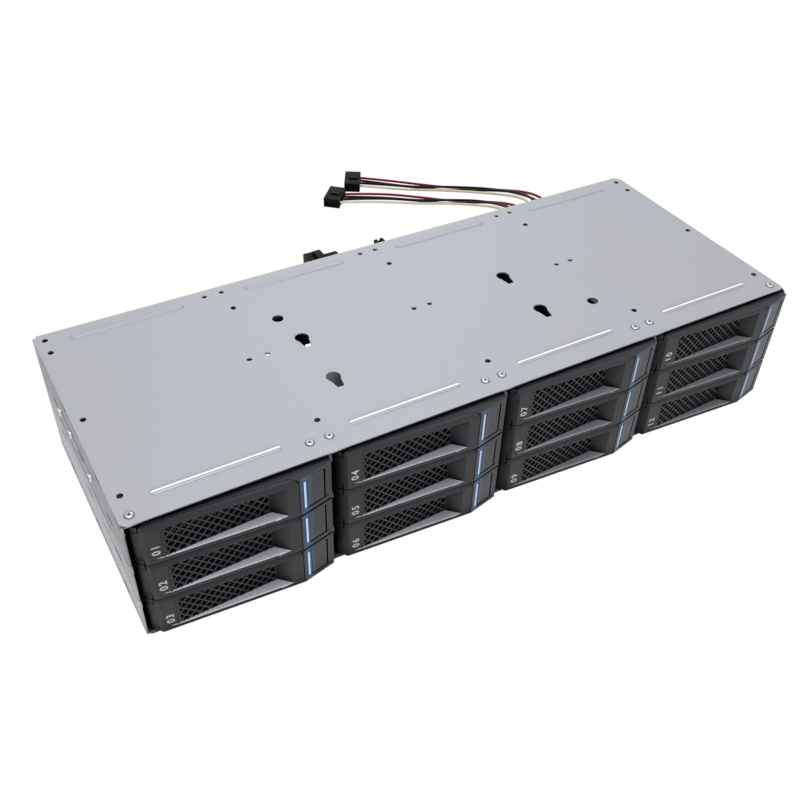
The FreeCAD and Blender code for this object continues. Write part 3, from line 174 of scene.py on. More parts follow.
world = bpy.data.worlds.new("studio")
bpy.context.scene.world = world
world.use_nodes = True
tree = world.node_tree
tree.nodes.clear()
level = between(tree, seen_directly(tree), WORLD_LIGHT, 1.0)
sky = add(tree, "ShaderNodeBackground", {"Strength": level, "Color": WHITE})
add(tree, "ShaderNodeOutputWorld", {"Surface": sky.outputs[0]})

soft_box("key", (-0.25, -0.3, 1.5), (0.05, 0, 0.05), 0.9, 9.3)
soft_box("front_fill", (0.5, -1.4, 0.7), (0, 0, 0.05), 0.9, 5)
soft_box("rear_rim", (0.6, 1.2, 1.0), (0, 0, 0.05), 0.9, 2.0, (0.82, 0.90, 1.0))


# ---------------------------------------------------------------------------
# Shell. Cold rolled sheet with a zinc coat, punched, folded and riveted. Zinc
# gives a satin pale grey with faint crystals and small handling marks.

HALF_WIDTH_MM = 218.0
FRONT_MM = -83.75
TOP_MM = 84.0
COLUMN_MM = 109.0
ROW_MM = 27.0
CAGE_LEFT = -HALF_WIDTH_MM * MM
CAGE_FRONT = FRONT_MM * MM
PLATE_TOP = TOP_MM * MM
COLUMN_PITCH = COLUMN_MM * MM
FRONT_ORIGIN = Vector((0, CAGE_FRONT, 0))
DIVIDER_LINES = (1, 2, 3)
SIDES = (-1, 1)
SHADE_REACH = 14 * MM
UPPER_SHADE_HEIGHTS = (25 * MM, 62 * MM)


def ramp(tree, factor, stops):
    """Colour that runs through the stops, each a position and a linear colour."""
    made = add(tree, "ShaderNodeValToRGB", {"Fac": factor})
    points = made.color_ramp.elements
    while len(points) < len(stops):
        points.new(1.0)
    for point, (position, colour) in zip(points, stops):
        point.position = position
        point.color = colour
    return made.outputs["Color"]


def mix_colours(tree, factor, first, second):
    """Mix of two colours; each may be a constant or another node's output."""
    mix = add(tree, "ShaderNodeMix", {"Factor": factor, 6: first, 7: second}, data_type="RGBA")
    return mix.outputs[2]


def openness(tree, power):
    """1 on open faces and near 0 in deep gaps, where shade gathers."""
    share = add(tree, "ShaderNodeAmbientOcclusion", {"Distance": SHADE_REACH}, samples=8)
    return maths(tree, "POWER", share.outputs["AO"], power)


def object_place(tree):
    """Place on the object, whose origin is the frame's."""
    return add(tree, "ShaderNodeTexCoord").outputs["Object"]


def along_axis(tree, place, axis):
    """One coordinate of a place or of a normal."""
    return add(tree, "ShaderNodeSeparateXYZ", {"Vector": place}).outputs[axis]


def share_of(tree, value, low, high):
    """0 to 1 as a value runs from low to high."""
    return add(tree, "ShaderNodeMapRange", {"Value": value, "From Min": low, "From Max": high}).outputs[0]


def noise(tree, place, size, detail):
    """Cloudy factor with clouds of a given size."""
    clouds = add(tree, "ShaderNodeTexNoise", {"Vector": place, "Scale": 1 / size, "Detail": detail})
    return clouds.outputs["Fac"]


def relief(tree, height, strength, distance):
    """Normal of a fine relief."""
    inputs = {"Height": height, "Strength": strength, "Distance": distance}
    return add(tree, "ShaderNodeBump", inputs).outputs[0]


def surface(tree, inputs):
    """Principled shader with its inputs, sent to the material's surface."""
    shader = add(tree, "ShaderNodeBsdfPrincipled", inputs)
    finish_surface(tree, shader)
    return shader


def zinc_sheet(name, upper=None):
    """Zinc plated steel, whose crystals are 4 mm across and hardly show, with painted shade in its gaps; upper is
    the colour of a painted shade towards a wall's top.
    """
    made, tree = new_material(name)
    place = object_place(tree)
    crystals = add(tree, "ShaderNodeTexVoronoi", {"Vector": place, "Scale": 1 / (4 * MM)}, feature="F1")
    clouds = noise(tree, place, 60 * MM, 4.0)
    flakes = ramp(tree, crystals.outputs["Color"], [(0.0, linear("B3B3B7")), (1.0, linear("B6B6BA"))])
    tone = mix_colours(tree, clouds, flakes, linear("B5B8C0"))
    if upper:
        # Painted shade towards the wall's top.
        tone = mix_colours(tree, share_of(tree, along_axis(tree, place, "Z"), *UPPER_SHADE_HEIGHTS), tone, upper)
    # Painted shade: the colour darkens in gaps and hollows.
    surface(tree, {
        "Base Color": mix_colours(tree, openness(tree, 1.4), BLACK, tone),
        "Roughness": between(tree, clouds, 0.46, 0.50),
        "Normal": relief(tree, noise(tree, place, 0.6 * MM, 2.0), 0.06, 0.05 * MM),
        "Metallic": 0.55})
    return made


def plain_metal(name, colour, roughness, metallic, glow=0.0):
    """Even metal; a glow stands for light that a small bright edge catches."""
    made, tree = new_material(name)
    surface(tree, {"Base Color": linear(colour), "Roughness": roughness, "Metallic": metallic,
                   "Emission Color": WHITE, "Emission Strength": glow})
    return made


def paint(target, material):
    """Gives a whole CAD node one material."""
    target.data.materials.clear()
    target.data.materials.append(material)


def dress(target, materials):
    """Gives a worked copy its material slots; every face starts in the first."""
    target.data.materials.clear()
    for material in materials:
        target.data.materials.append(material)
    for face in target.data.polygons:
        face.material_index = 0


def opened(mesh):
    """Bmesh of a mesh, for work on it."""
    shape = bmesh.new()
    shape.from_mesh(mesh)
    return shape


def close(shape, mesh):
    """Writes a bmesh back to its mesh and frees it."""
    shape.to_mesh(mesh)
    shape.free()


def worked_copy(node, name):
    """Merged copy of a CAD node, to be worked and to stand for the node."""
    mesh = nodes[node].data.copy()
    shape = opened(mesh)
    bmesh.ops.remove_doubles(shape, verts=shape.verts, dist=0.002 * MM)
    bmesh.ops.dissolve_limit(shape, angle_limit=math.radians(1), verts=shape.verts, edges=shape.edges)
    close(shape, mesh)
    return into_scene(name, mesh)


def evaluated_mesh(target):
    """New mesh of an object, with its modifiers or its curve worked out."""
    bpy.context.view_layer.update()
    return bpy.data.meshes.new_from_object(target.evaluated_get(bpy.context.evaluated_depsgraph_get()))


def settle(target):
    """Applies the object's modifiers to its mesh."""
    mesh = evaluated_mesh(target)
    target.modifiers.clear()
    target.data = mesh


def block(name, low, high, origin):
    """Box between two corners in millimetres from an origin."""
    shape = bmesh.new()
    bmesh.ops.create_cube(shape, size=1)
    bmesh.ops.scale(shape, verts=shape.verts, vec=(Vector(high) - Vector(low)) * MM)
    bmesh.ops.translate(shape, verts=shape.verts, vec=origin + (Vector(high) + Vector(low)) * MM / 2)
    return into_scene(name, mesh_of(shape, name))


def cut_away(target, cutters):
    """Subtracts the cutters from the target and removes them."""
    for cutter in cutters:
        cut = target.modifiers.new("cut", "BOOLEAN")
        cut.operation = "DIFFERENCE"
        cut.solver = "EXACT"
        cut.object = cutter
    settle(target)
    for cutter in cutters:
        bpy.data.objects.remove(cutter)


zinc = zinc_sheet("zinc_plated_sheet")
paint(nodes["bottom_plate"], zinc)


# Plate and dividers: the walls of the flange joints' punched holes carry a painted highlight, and the dividers are
# painted dark for the shade between the columns.

JOINT_OFFSET_MM = 5.6
JOINT_HOLE_DEPTHS_MM = (91.2, 162.0)
HOLE_REACH = 3.0 * MM
HOLE_FACE_AREA = 4 * MM * MM


def joint_x(line, side):
    """Place across, in millimetres, of the joint screws and holes beside a divider line."""
    return -HALF_WIDTH_MM + COLUMN_MM * line + side * JOINT_OFFSET_MM


JOINT_HOLES = [FRONT_ORIGIN + Vector((joint_x(line, side), depth, TOP_MM)) * MM
               for line in DIVIDER_LINES for side in SIDES for depth in JOINT_HOLE_DEPTHS_MM]
hole_wall_highlight = plain_metal("zinc_hole_wall_painted_highlight", "F4F4F6", 0.4, 0.0, 0.05)
# Painted shade: the dividers are dark grey zinc for the shade between the columns.
zinc_shade = plain_metal("zinc_divider_painted_shade", "4C4C50", 0.5, 0.3)

for node in ["top_plate"] + [f"divider_{line}" for line in DIVIDER_LINES]:
    sheet = worked_copy(node, f"sheet_{node}")
    dress(sheet, (zinc, hole_wall_highlight) if node == "top_plate" else (zinc_shade,))
    if node == "top_plate":
        for face in sheet.data.polygons:
            near = any((face.center - hole).length < HOLE_REACH for hole in JOINT_HOLES)
            if near and abs(face.normal.z) < 0.5 and face.area < HOLE_FACE_AREA:
                face.material_index = 1
    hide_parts(node)
    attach(sheet, "cage")


# Side walls: notches under the plate's edge, a slot behind each front ear and the
# thin seams of the folds. Each span is front, rear, low and high, from the front.

NOTCHES_MM = [(37.0, 44.0, 80.4, 82.3), (98.0, 106.0, 80.4, 82.3)]
NOTCHES_MM += [(4.5, 13.5, TOP_MM - 5.8 - ROW_MM * row, TOP_MM - 4.2 - ROW_MM * row) for row in range(3)]
SEAMS_MM = [(30.0, 150.0, 82.3, 83.1), (36.0, 134.0, 47.6, 49.4), (56.0, 120.0, 65.2, 66.6),
            (10.0, 60.0, 30.0, 31.4)]
NOTCH_DEPTH_MM = 1.2
SEAM_DEPTH_MM = 0.4


def wall_cutters(name, side, spans, depth):
    """Blocks that reach to a depth into a side wall's outer face."""
    wall_x = side * HALF_WIDTH_MM
    return [block(name, (wall_x - depth, front, low), (wall_x + depth, rear, high), FRONT_ORIGIN)
            for front, rear, low, high in spans]


# Painted shade: the side walls darken towards their top.
zinc_wall_upper_shade = zinc_sheet("zinc_wall_painted_upper_shade", linear("8E8D91"))
seam_shade = plain_metal("zinc_seam_shade", "5A5A5E", 0.6, 0.2)
seam_x = (HALF_WIDTH_MM - SEAM_DEPTH_MM) * MM
for side, name in zip(SIDES, ("left", "right")):
    wall = worked_copy(f"side_plate_{name}", f"wall_{name}")
    cut_away(wall, wall_cutters("notch", side, NOTCHES_MM, NOTCH_DEPTH_MM))
    cut_away(wall, wall_cutters("seam", side, SEAMS_MM, SEAM_DEPTH_MM))
    dress(wall, (zinc_wall_upper_shade, seam_shade))
    for face in wall.data.polygons:
        if abs(abs(face.center.x) - seam_x) < 0.05 * MM and abs(face.normal.x) > 0.9:
            face.material_index = 1
    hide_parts(f"side_plate_{name}")
    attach(wall, "cage")


# Stiffening beads: pressed up from below, so the crest is domed; in front the crest carries a painted highlight.

BEAD_START = 22.0 * MM
BEAD_SPAN = 64.6 * MM
BEAD_SEGMENTS = 20
BEAD_RADIUS = 2.3 * MM
BEAD_RISE = 0.56 * MM
CREST = 0.55 * MM


def make_bead(name, start, materials):
    """Half capsule along X: a dome whose far half is moved by the bead's span."""
    shape = bmesh.new()
    bmesh.ops.create_uvsphere(shape, u_segments=BEAD_SEGMENTS, v_segments=32, radius=BEAD_RADIUS)
    half_step = Matrix.Rotation(math.radians(180 / BEAD_SEGMENTS), 3, "Z")
    bmesh.ops.rotate(shape, verts=shape.verts, matrix=half_step)
    bmesh.ops.delete(shape, geom=[v for v in shape.verts if v.co.z < -0.01 * MM], context="VERTS")
    far_end = [v for v in shape.verts if v.co.x > 0]
    bmesh.ops.translate(shape, verts=far_end, vec=(BEAD_SPAN, 0, 0))
    bmesh.ops.scale(shape, verts=shape.verts, vec=(1, 1, BEAD_RISE / BEAD_RADIUS))
    for face in shape.faces:
        face.smooth = True
        face.material_index = 1 if abs(face.calc_center_median().y) < CREST else 0
    bmesh.ops.translate(shape, verts=shape.verts, vec=start)
    return into_scene(name, mesh_of(shape, name, materials))


# The front crests carry a painted highlight; the rear ones are plain zinc.
bead_rows = {"front": (16.0 * MM, plain_metal("zinc_crest_painted_highlight", "FFFFFF", 0.35, 0.0, 0.3)),
             "rear": (158.6 * MM, zinc)}
for column in range(4):
    for row_name, (depth, crest) in bead_rows.items():
        start = Vector((CAGE_LEFT + column * COLUMN_PITCH + BEAD_START, CAGE_FRONT + depth, PLATE_TOP))
        bead = make_bead(f"bead_{row_name}_{column + 1}", start, (zinc, crest))
        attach(bead, "cage")


# ---------------------------------------------------------------------------
# Trays. Glass filled ABS, moulded in one piece with a fine spark eroded grain,
# nearly black and slightly blue. A clear acrylic bar carries the drive's lamp.

# Painted shade of the lamp windows by column, from the left.
PIPE_FADE = (1.0, 0.92, 0.76, 0.6)
LAMP_GLOW_MM = [(88.2, BLACK), (89.5, (0.010, 0.048, 0.105, 1)), (92.2, (0.009, 0.042, 0.085, 1)), (96.0, BLACK)]


def black_abs(name, colour, roughness, shaded=True, glow=False, level=0.4):
    """ABS whose 0.35 mm grain is drawn a little coarse; level is its specular level where it is open. When shaded,
    colour and gloss carry painted shade in gaps.
    """
    made, tree = new_material(name)
    place = object_place(tree)
    shader = surface(tree, {
        "Base Color": linear(colour), "IOR": 1.54, "Specular IOR Level": level,
        "Roughness": between(tree, noise(tree, place, 14 * MM, 5.0), roughness - 0.05, roughness + 0.07),
        "Normal": relief(tree, noise(tree, place, 0.35 * MM, 3.0), 0.22, 0.05 * MM)})
    # Painted shade: colour and gloss darken in gaps and hollows.
    if shaded:
        share = openness(tree, 2.2)
        tree.links.new(mix_colours(tree, share, BLACK, linear(colour)), shader.inputs["Base Color"])
        tree.links.new(maths(tree, "MULTIPLY", share, level), shader.inputs["Specular IOR Level"])
    if glow:
        tree.links.new(lamp_glow(tree, place), shader.inputs["Emission Color"])
        shader.inputs["Emission Strength"].default_value = 1.0
    return made


def fade_right(tree, place, levels):
    """Brightness by column, one level for each from the left: the fronts get less light towards the right."""
    across = share_of(tree, along_axis(tree, place, "X"), CAGE_LEFT, -CAGE_LEFT)
    return ramp(tree, across, [((column + 0.5) / 4, (level, level, level, 1))
                               for column, level in enumerate(levels)])


def lamp_glow(tree, place):
    """Blue light that leaks into the plastic beside the lamp's window, by place within the column."""
    from_left = maths(tree, "ADD", along_axis(tree, place, "X"), -CAGE_LEFT)
    share = maths(tree, "FRACT", maths(tree, "DIVIDE", from_left, COLUMN_PITCH))
    return ramp(tree, share, [(x * MM / COLUMN_PITCH, colour) for x, colour in LAMP_GLOW_MM])


def lit_acrylic(name, colour, strength):
    """Acrylic that glows from inside with the lamp behind it."""
    made, tree = new_material(name)
    level = fade_right(tree, object_place(tree), PIPE_FADE)
    surface(tree, {"Base Color": mix_colours(tree, level, BLACK, linear(colour)),
                   "Emission Strength": maths(tree, "MULTIPLY", level, strength),
                   "Roughness": 0.15, "IOR": 1.49, "Emission Color": linear(colour)})
    return made


tray_abs = black_abs("tray_abs_grained", "15161D", 0.42)
glow_abs = black_abs("tray_abs_lit", "1C1D26", 0.40, glow=True)
# Painted highlight: the rounded edges take a paler ABS for the light they catch.
edge_highlight_abs = black_abs("abs_edge_painted_highlight", "767780", 0.30)
# Painted shade: the tray's faces behind its front are darkened.
inner_shade_abs = black_abs("tray_abs_inner_painted_shade", "0C0D11", 0.5, level=0.2)
# Painted shade: below the top row, the top faces seen through the gap between rows are near black.
gap_shade_abs = black_abs("abs_gap_shade", "050506", 0.6, level=0.05)
pipe_core = lit_acrylic("acrylic_lit_core", "A8C0E2", 0.52)
pipe_edge = lit_acrylic("acrylic_lit_edge", "1F4473", 0.35)
pipe_shade = lit_acrylic("acrylic_shaded", "0A1E40", 0.25)

BAYS = [(row, column, f"r{row}_c{column}") for row in (1, 2, 3) for column in (1, 2, 3, 4)]
PIPE, LIT, EDGE, UPPER, INNER = range(1, 6)
SIDE_GAP = 1.2 * MM
RIDGE_OUT = 8.7 * MM
LOWER_EASE = 0.9 * MM
EDGE_BREAK = 0.3 * MM
LONG_EDGE = 3 * MM
TOP_FROM = 24.5 * MM
END_FROM = 88.0 * MM
PIPE_LEFT = 89.9 * MM
PIPE_RIGHT = 91.7 * MM
PIPE_LOW = 4.3 * MM
PIPE_HIGH = 23.2 * MM
END_SPAN = (87.9 * MM, 108.0 * MM)
GROOVES_MM = [((92.0, -9.0, 2.95), (105.7, -2.6, 3.60)), ((102.9, -6.3, 2.95), (103.75, -2.6, 24.15))]


def bay_corner(row, column):
    """Point on the column line, at the plate edge and at the tray's underside."""
    low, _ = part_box(f"tray_r{row}_c{column}")
    return Vector((low.x - SIDE_GAP, low.y + RIDGE_OUT, low.z))


HOME = bay_corner(1, 1)


def fill_bays(pattern, name, node, replaces=True):
    """Puts a copy of a pattern from bay 1 in every bay, to move with that bay's node, and removes the pattern."""
    for row, column, spot in BAYS:
        piece = into_scene(f"{name}_{spot}", pattern.data.copy())
        piece.data.transform(Matrix.Translation(bay_corner(row, column) - HOME))
        # Below the top row, the top faces take the painted gap shade.
        if row > 1 and len(piece.data.materials) > UPPER:
            piece.data.materials[UPPER] = gap_shade_abs
        if replaces:
            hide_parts(f"{node}_{spot}")
        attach(piece, f"{node}_{spot}")
    bpy.data.objects.remove(pattern)


def ease_edges(target, width, chosen):
    """Rounds the edges along X whose two ends, seen from the home corner, are chosen."""
    shape = opened(target.data)
    edges = []
    for edge in shape.edges:
        ends = [v.co - HOME for v in edge.verts]
        if all(chosen(end) for end in ends) and abs(ends[0].x - ends[1].x) > LONG_EDGE:
            edges.append(edge)
    bmesh.ops.bevel(shape, geom=edges, offset=width, segments=3, profile=0.6, affect="EDGES")
    close(shape, target.data)


def ease_lower_edge(target, left, right):
    """Rounds the lower front edges between two places, so that the gap between rows reads wide."""
    ease_edges(target, LOWER_EASE, lambda p: abs(p.z) < 0.01 * MM and left < p.x < right and p.y < -2.5 * MM)


def break_edges(target, width, angle, material):
    """Rounds the sharp edges; the new faces take the given material slot."""
    rounding = target.modifiers.new("broken_edges", "BEVEL")
    rounding.width = width
    rounding.segments = 2
    rounding.limit_method = "ANGLE"
    rounding.angle_limit = math.radians(angle)
    rounding.material = material
    settle(target)


def island_of(first):
    """Faces that hang together with the first one."""
    found = {first}
    front = [first]
    while front:
        for edge in front.pop().edges:
            for other in edge.link_faces:
                if other not in found:
                    found.add(other)
                    front.append(other)
    return found


tray_pattern = worked_copy("tray_r1_c1", "tray_pattern")
ease_lower_edge(tray_pattern, *END_SPAN)
cut_away(tray_pattern, [block("groove", low, high, HOME) for low, high in GROOVES_MM])
dress(tray_pattern, (tray_abs, pipe_shade, glow_abs, edge_highlight_abs, tray_abs, inner_shade_abs))
break_edges(tray_pattern, EDGE_BREAK, 35, EDGE)

shape = opened(tray_pattern.data)
waiting = set(shape.faces)
while waiting:
    island = island_of(next(iter(waiting)))
    waiting -= island
    reach = [(v.co - HOME).x for face in island for v in face.verts]
    is_pipe = min(reach) > PIPE_LEFT - 0.05 * MM and max(reach) < PIPE_RIGHT + 0.05 * MM
    for face in island:
        place = face.calc_center_median() - HOME
        if is_pipe:
            face.material_index = PIPE
        elif face.normal.y < -0.7 and place.x > END_FROM + 0.1 * MM and place.y < -3 * MM:
            face.material_index = LIT
        # Faces behind the front take the painted inner shade.
        elif place.y > 3 * MM:
            face.material_index = INNER
        elif face.normal.z > 0.95 and place.z > TOP_FROM:
            face.material_index = UPPER
close(shape, tray_pattern.data)
fill_bays(tray_pattern, "tray_front", "tray")


# Light window: a navy shade, the bright core and a blue edge, flush with the slanted face.

END_SLOPE = (8.7 - 3.9) / (107.8 - 88.0)
WINDOW_EDGES = (89.4 * MM, 90.2 * MM, 91.4 * MM, 92.2 * MM)
WINDOW_RISE = 0.06 * MM
WINDOW_WALL = 0.3 * MM
CORE = 1


def end_depth(x):
    """Depth of the slanted right end of a tray front at x."""
    return -RIDGE_OUT + (x - END_FROM) * END_SLOPE


def moved_side(extruded):
    """Vertices that an extrusion has just made."""
    return [v for v in extruded["geom"] if isinstance(v, bmesh.types.BMVert)]


def make_window():
    """Upright strips along the slope: shade, core and edge; the core's ends are round."""
    shape = bmesh.new()
    for index, (left, right) in enumerate(zip(WINDOW_EDGES, WINDOW_EDGES[1:])):
        half = (right - left) / 2
        rounding = half if index == CORE else 0.1 * MM
        outline = []
        for middle_z, start in ((PIPE_HIGH - rounding, 0), (PIPE_LOW + rounding, 180)):
            for step in range(7):
                angle = math.radians(start + 30 * step)
                x = (left + right) / 2 + half * math.cos(angle)
                outline.append((x, end_depth(x) - WINDOW_RISE, middle_z + rounding * math.sin(angle)))
        face = shape.faces.new([shape.verts.new(point) for point in outline])
        face.material_index = index
    bmesh.ops.recalc_face_normals(shape, faces=shape.faces)
    for face in shape.faces:
        if face.normal.y > 0:
            face.normal_flip()
    thick = bmesh.ops.extrude_face_region(shape, geom=shape.faces[:])
    bmesh.ops.translate(shape, verts=moved_side(thick), vec=(0, WINDOW_WALL, 0))
    bmesh.ops.recalc_face_normals(shape, faces=shape.faces)
    bmesh.ops.translate(shape, verts=shape.verts, vec=HOME)
    return into_scene("window_pattern", mesh_of(shape, "window_pattern", (pipe_shade, pipe_core, pipe_edge)))


fill_bays(make_window(), "light_window", "tray", replaces=False)


# ---------------------------------------------------------------------------
# Handles. The same ABS, with a finger recess whose rear wall is a grille of
# small square openings, and a recess floor whose pale tone is a painted reflection.

# Painted shade of the recess floors by column, from the left.
FLOOR_FADE = (0.80, 0.62, 0.36, 0.32)
FLOOR, GRILLE = 1, 2
RECESS_LEFT = 16.0 * MM
RECESS_DEEP = Vector((74.0, -1.6)) * MM
RECESS_LOW = 3.25 * MM
RECESS_HIGH = 22.9 * MM
FLOOR_RIGHT = 81.5 * MM
TAIL_LEFT = 9.4 * MM
TAIL_RIGHT = 74 * MM
TAIL_DEPTH = 0.55 * MM
TAIL_HEIGHT = 0.8 * MM
LIP_EASE = 1.0 * MM
LIP_DROP = 1.1 * MM
LIP_REACH = 1.3 * MM
FLOOR_REACH = 0.7 * MM
FACE_CORNER = Vector((8.6, -3.5)) * MM
FACE_SLOPE = (8.7 - 3.5) / (88.0 - 8.6)
FACE_SPAN = (8.0 * MM, 88.0 * MM)
GRILLE_WALL = 1.2 * MM
GRILLE_START = 2.2 * MM
GRILLE_END = 1.0 * MM
MESH_PITCH = 5.4 * MM
MESH_WEB = 1.15 * MM


def painted_reflection_floor():
    """Moulded floor of the recess, with a coarse spark grain of 0.8 mm; its pale tone is a painted reflection, and
    it fades by column as painted shade.
    """
    made, tree = new_material("recess_floor_painted_reflection")
    place = object_place(tree)
    grain = noise(tree, place, 0.8 * MM, 3.0)
    tone = ramp(tree, grain, [(0.3, linear("D0CEDA")), (0.7, linear("F8F6FF"))])
    surface(tree, {"Base Color": mix_colours(tree, fade_right(tree, place, FLOOR_FADE), BLACK, tone),
                   "Normal": relief(tree, grain, 0.3, 0.06 * MM), "Roughness": 0.35})
    return made


def face_depth(x):
    """Depth of the handle's slanted front at x."""
    return FACE_CORNER.y - (x - FACE_CORNER.x) * FACE_SLOPE


grille_start = Vector((RECESS_LEFT, face_depth(RECESS_LEFT)))
grille_length = (RECESS_DEEP - grille_start).length
grille_along = (RECESS_DEEP - grille_start).normalized()
grille_across = Vector((-grille_along.y, grille_along.x))


def prism(name, plan, low, rise):
    """Upright prism over a plan; its places are seen from the home corner."""
    shape = bmesh.new()
    base = shape.faces.new([shape.verts.new((x, y, low)) for x, y in plan])
    top = bmesh.ops.extrude_face_region(shape, geom=[base])
    bmesh.ops.translate(shape, verts=moved_side(top), vec=(0, 0, rise))
    bmesh.ops.recalc_face_normals(shape, faces=shape.faces)
    bmesh.ops.translate(shape, verts=shape.verts, vec=HOME)
    return into_scene(name, mesh_of(shape, name))


def make_cutter():
    """Prism over the coarse grille of the CAD handle, which the fine one replaces."""
    left = grille_start + grille_along * GRILLE_START
    right = grille_start + grille_along * (grille_length - GRILLE_END)
    front, rear = grille_across * (0.4 * MM), grille_across * (5 * MM)
    plan = [left - front, right - front, right + rear, left + rear]
    return prism("grille_cutter", plan, RECESS_LOW + 0.02 * MM, RECESS_HIGH - RECESS_LOW - 0.04 * MM)


def make_tail():
    """Thin wedge that carries the floor's crease on to the left of the grille."""
    plan = [(TAIL_LEFT, face_depth(TAIL_LEFT) - 0.02 * MM), (TAIL_RIGHT, face_depth(TAIL_RIGHT) - 0.02 * MM),
            RECESS_DEEP, (RECESS_LEFT, face_depth(RECESS_LEFT) + TAIL_DEPTH)]
    return prism("tail_cutter", plan, RECESS_LOW, TAIL_HEIGHT)


def make_grille():
    """Square lattice turned by 45 degrees, trimmed to the recess and stood on the grille's line."""
    height = RECESS_HIGH - RECESS_LOW
    cell = MESH_PITCH / math.sqrt(2)
    count = math.ceil((grille_length + height) / cell)
    shape = bmesh.new()
    bmesh.ops.create_grid(shape, x_segments=count, y_segments=count, size=count * cell / 2)
    bmesh.ops.rotate(shape, verts=shape.verts, matrix=Matrix.Rotation(math.radians(45), 3, "Z"))
    cells = shape.faces[:]
    webs = set(bmesh.ops.inset_individual(shape, faces=cells, thickness=MESH_WEB / 2)["faces"])
    openings = [face for face in shape.faces if face not in webs]
    bmesh.ops.delete(shape, geom=openings, context="FACES")
    for axis, half in ((0, grille_length / 2), (1, height / 2)):
        for side in SIDES:
            normal = Vector((0, 0, 0))
            normal[axis] = side
            bmesh.ops.bisect_plane(shape, geom=shape.verts[:] + shape.edges[:] + shape.faces[:],
                                   plane_co=normal * half, plane_no=normal, clear_outer=True)
    bmesh.ops.remove_doubles(shape, verts=shape.verts, dist=0.01 * MM)
    bmesh.ops.solidify(shape, geom=shape.faces[:], thickness=GRILLE_WALL)
    bmesh.ops.recalc_face_normals(shape, faces=shape.faces)
    stand = Matrix(((grille_along.x, 0, grille_across.x, 0), (grille_along.y, 0, grille_across.y, 0),
                    (0, 1, 0, 0), (0, 0, 0, 1)))
    bmesh.ops.transform(shape, verts=shape.verts, matrix=stand)
    foremost = min(v.co.x * grille_across.x + v.co.y * grille_across.y for v in shape.verts)
    middle = grille_start + grille_along * (grille_length / 2) - grille_across * foremost
    bmesh.ops.translate(shape, verts=shape.verts,
                        vec=HOME + Vector((middle.x, middle.y, (RECESS_LOW + RECESS_HIGH) / 2)))
    return mesh_of(shape, "grille")


def on_lip_edge(p):
    """Whether a point lies on the front edge of the recess's floor, where fingers pull."""
    return abs(p.z - RECESS_LOW) < 0.05 * MM and abs(p.y - face_depth(p.x)) < 0.1 * MM


def is_recess_floor(face):
    """Whether a face is the flat floor in front of the grille, or the rounded lip before it."""
    place = face.calc_center_median() - HOME
    behind = place.y - grille_start.y - (place.x - grille_start.x) * grille_along.y / grille_along.x
    on_floor = abs(place.z - RECESS_LOW) < 0.1 * MM and face.normal.z > 0.9 and behind < FLOOR_REACH
    on_lip = (-LIP_DROP < place.z - RECESS_LOW < 0 and face.normal.z > 0.35
              and place.y < face_depth(place.x) + LIP_REACH)
    return TAIL_LEFT < place.x < FLOOR_RIGHT and (on_floor or on_lip)


def make_handle():
    """CAD handle with its grille changed for the fine one and its edges broken."""
    made = worked_copy("handle_r1_c1", "handle_pattern")
    ease_lower_edge(made, *FACE_SPAN)
    cut_away(made, [make_cutter(), make_tail()])
    ease_edges(made, LIP_EASE, on_lip_edge)
    dress(made, (handle_abs, recess_floor, grille_abs, edge_highlight_abs, handle_abs))
    break_edges(made, EDGE_BREAK, 20, EDGE)
    shape = opened(made.data)
    for face in shape.faces:
        # The recess floor and its lip take the painted reflection.
        if is_recess_floor(face):
            face.material_index = FLOOR
        if face.normal.z > 0.95 and face.calc_center_median().z - HOME.z > TOP_FROM:
            face.material_index = UPPER
    count = len(shape.faces)
    shape.from_mesh(make_grille())
    shape.faces.ensure_lookup_table()
    for face in shape.faces[count:]:
        face.material_index = GRILLE
    close(shape, made.data)
    return made


handle_abs = black_abs("handle_abs_grained", "15161D", 0.42)
grille_abs = black_abs("grille_abs_grained", "1D1D23", 0.45, shaded=False)
recess_floor = painted_reflection_floor()
fill_bays(make_handle(), "swing_handle", "handle")


# Bay numbers: pad printed in white ink, running up the left of each handle. The text
# runs up, its tops face left, and it stands on the slanted front.

NUMBER_HEIGHT = 4.1 * MM
DIGIT_SHARE = 0.7
NUMBER_X = 14.7 * MM
NUMBER_LOW = 6.0 * MM
INK_RISE = 0.02 * MM
STROKE_GAIN = 0.14 * MM
ROW_COUNT = 3

ink, tree = new_material("pad_print_white")
surface(tree, {"Base Color": linear("C9C9CE"), "Roughness": 0.5})
lean = math.atan(FACE_SLOPE)
upright = Matrix(((0, -math.cos(lean), -math.sin(lean), 0), (0, math.sin(lean), -math.cos(lean), 0),
                  (1, 0, 0, 0), (0, 0, 0, 1)))
for row, column, spot in BAYS:
    words = bpy.data.curves.new(f"number_{spot}", "FONT")
    words.body = f"{(column - 1) * ROW_COUNT + row:02d}"
    words.size = NUMBER_HEIGHT / DIGIT_SHARE
    words.extrude = INK_RISE
    words.offset = STROKE_GAIN
    words.space_character = 1.35
    words.resolution_u = 4
    outline = into_scene("outline", words)
    mesh = evaluated_mesh(outline)
    bpy.data.objects.remove(outline)
    mesh.transform(upright)
    start = bay_corner(row, column) + Vector((NUMBER_X, face_depth(NUMBER_X) - INK_RISE, NUMBER_LOW))
    mesh.transform(Matrix.Translation(start))
    mesh.materials.clear()
    mesh.materials.append(ink)
    label = into_scene(f"bay_number_{spot}", mesh)
    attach(label, f"handle_{spot}")


# ---------------------------------------------------------------------------
# Release buttons. Moulded ABS in the tray's colour but smoother, flush with the
# slanted end of the tray front. Each carries the tongue that latches a handle.

BUTTON_BREAK = 0.25 * MM

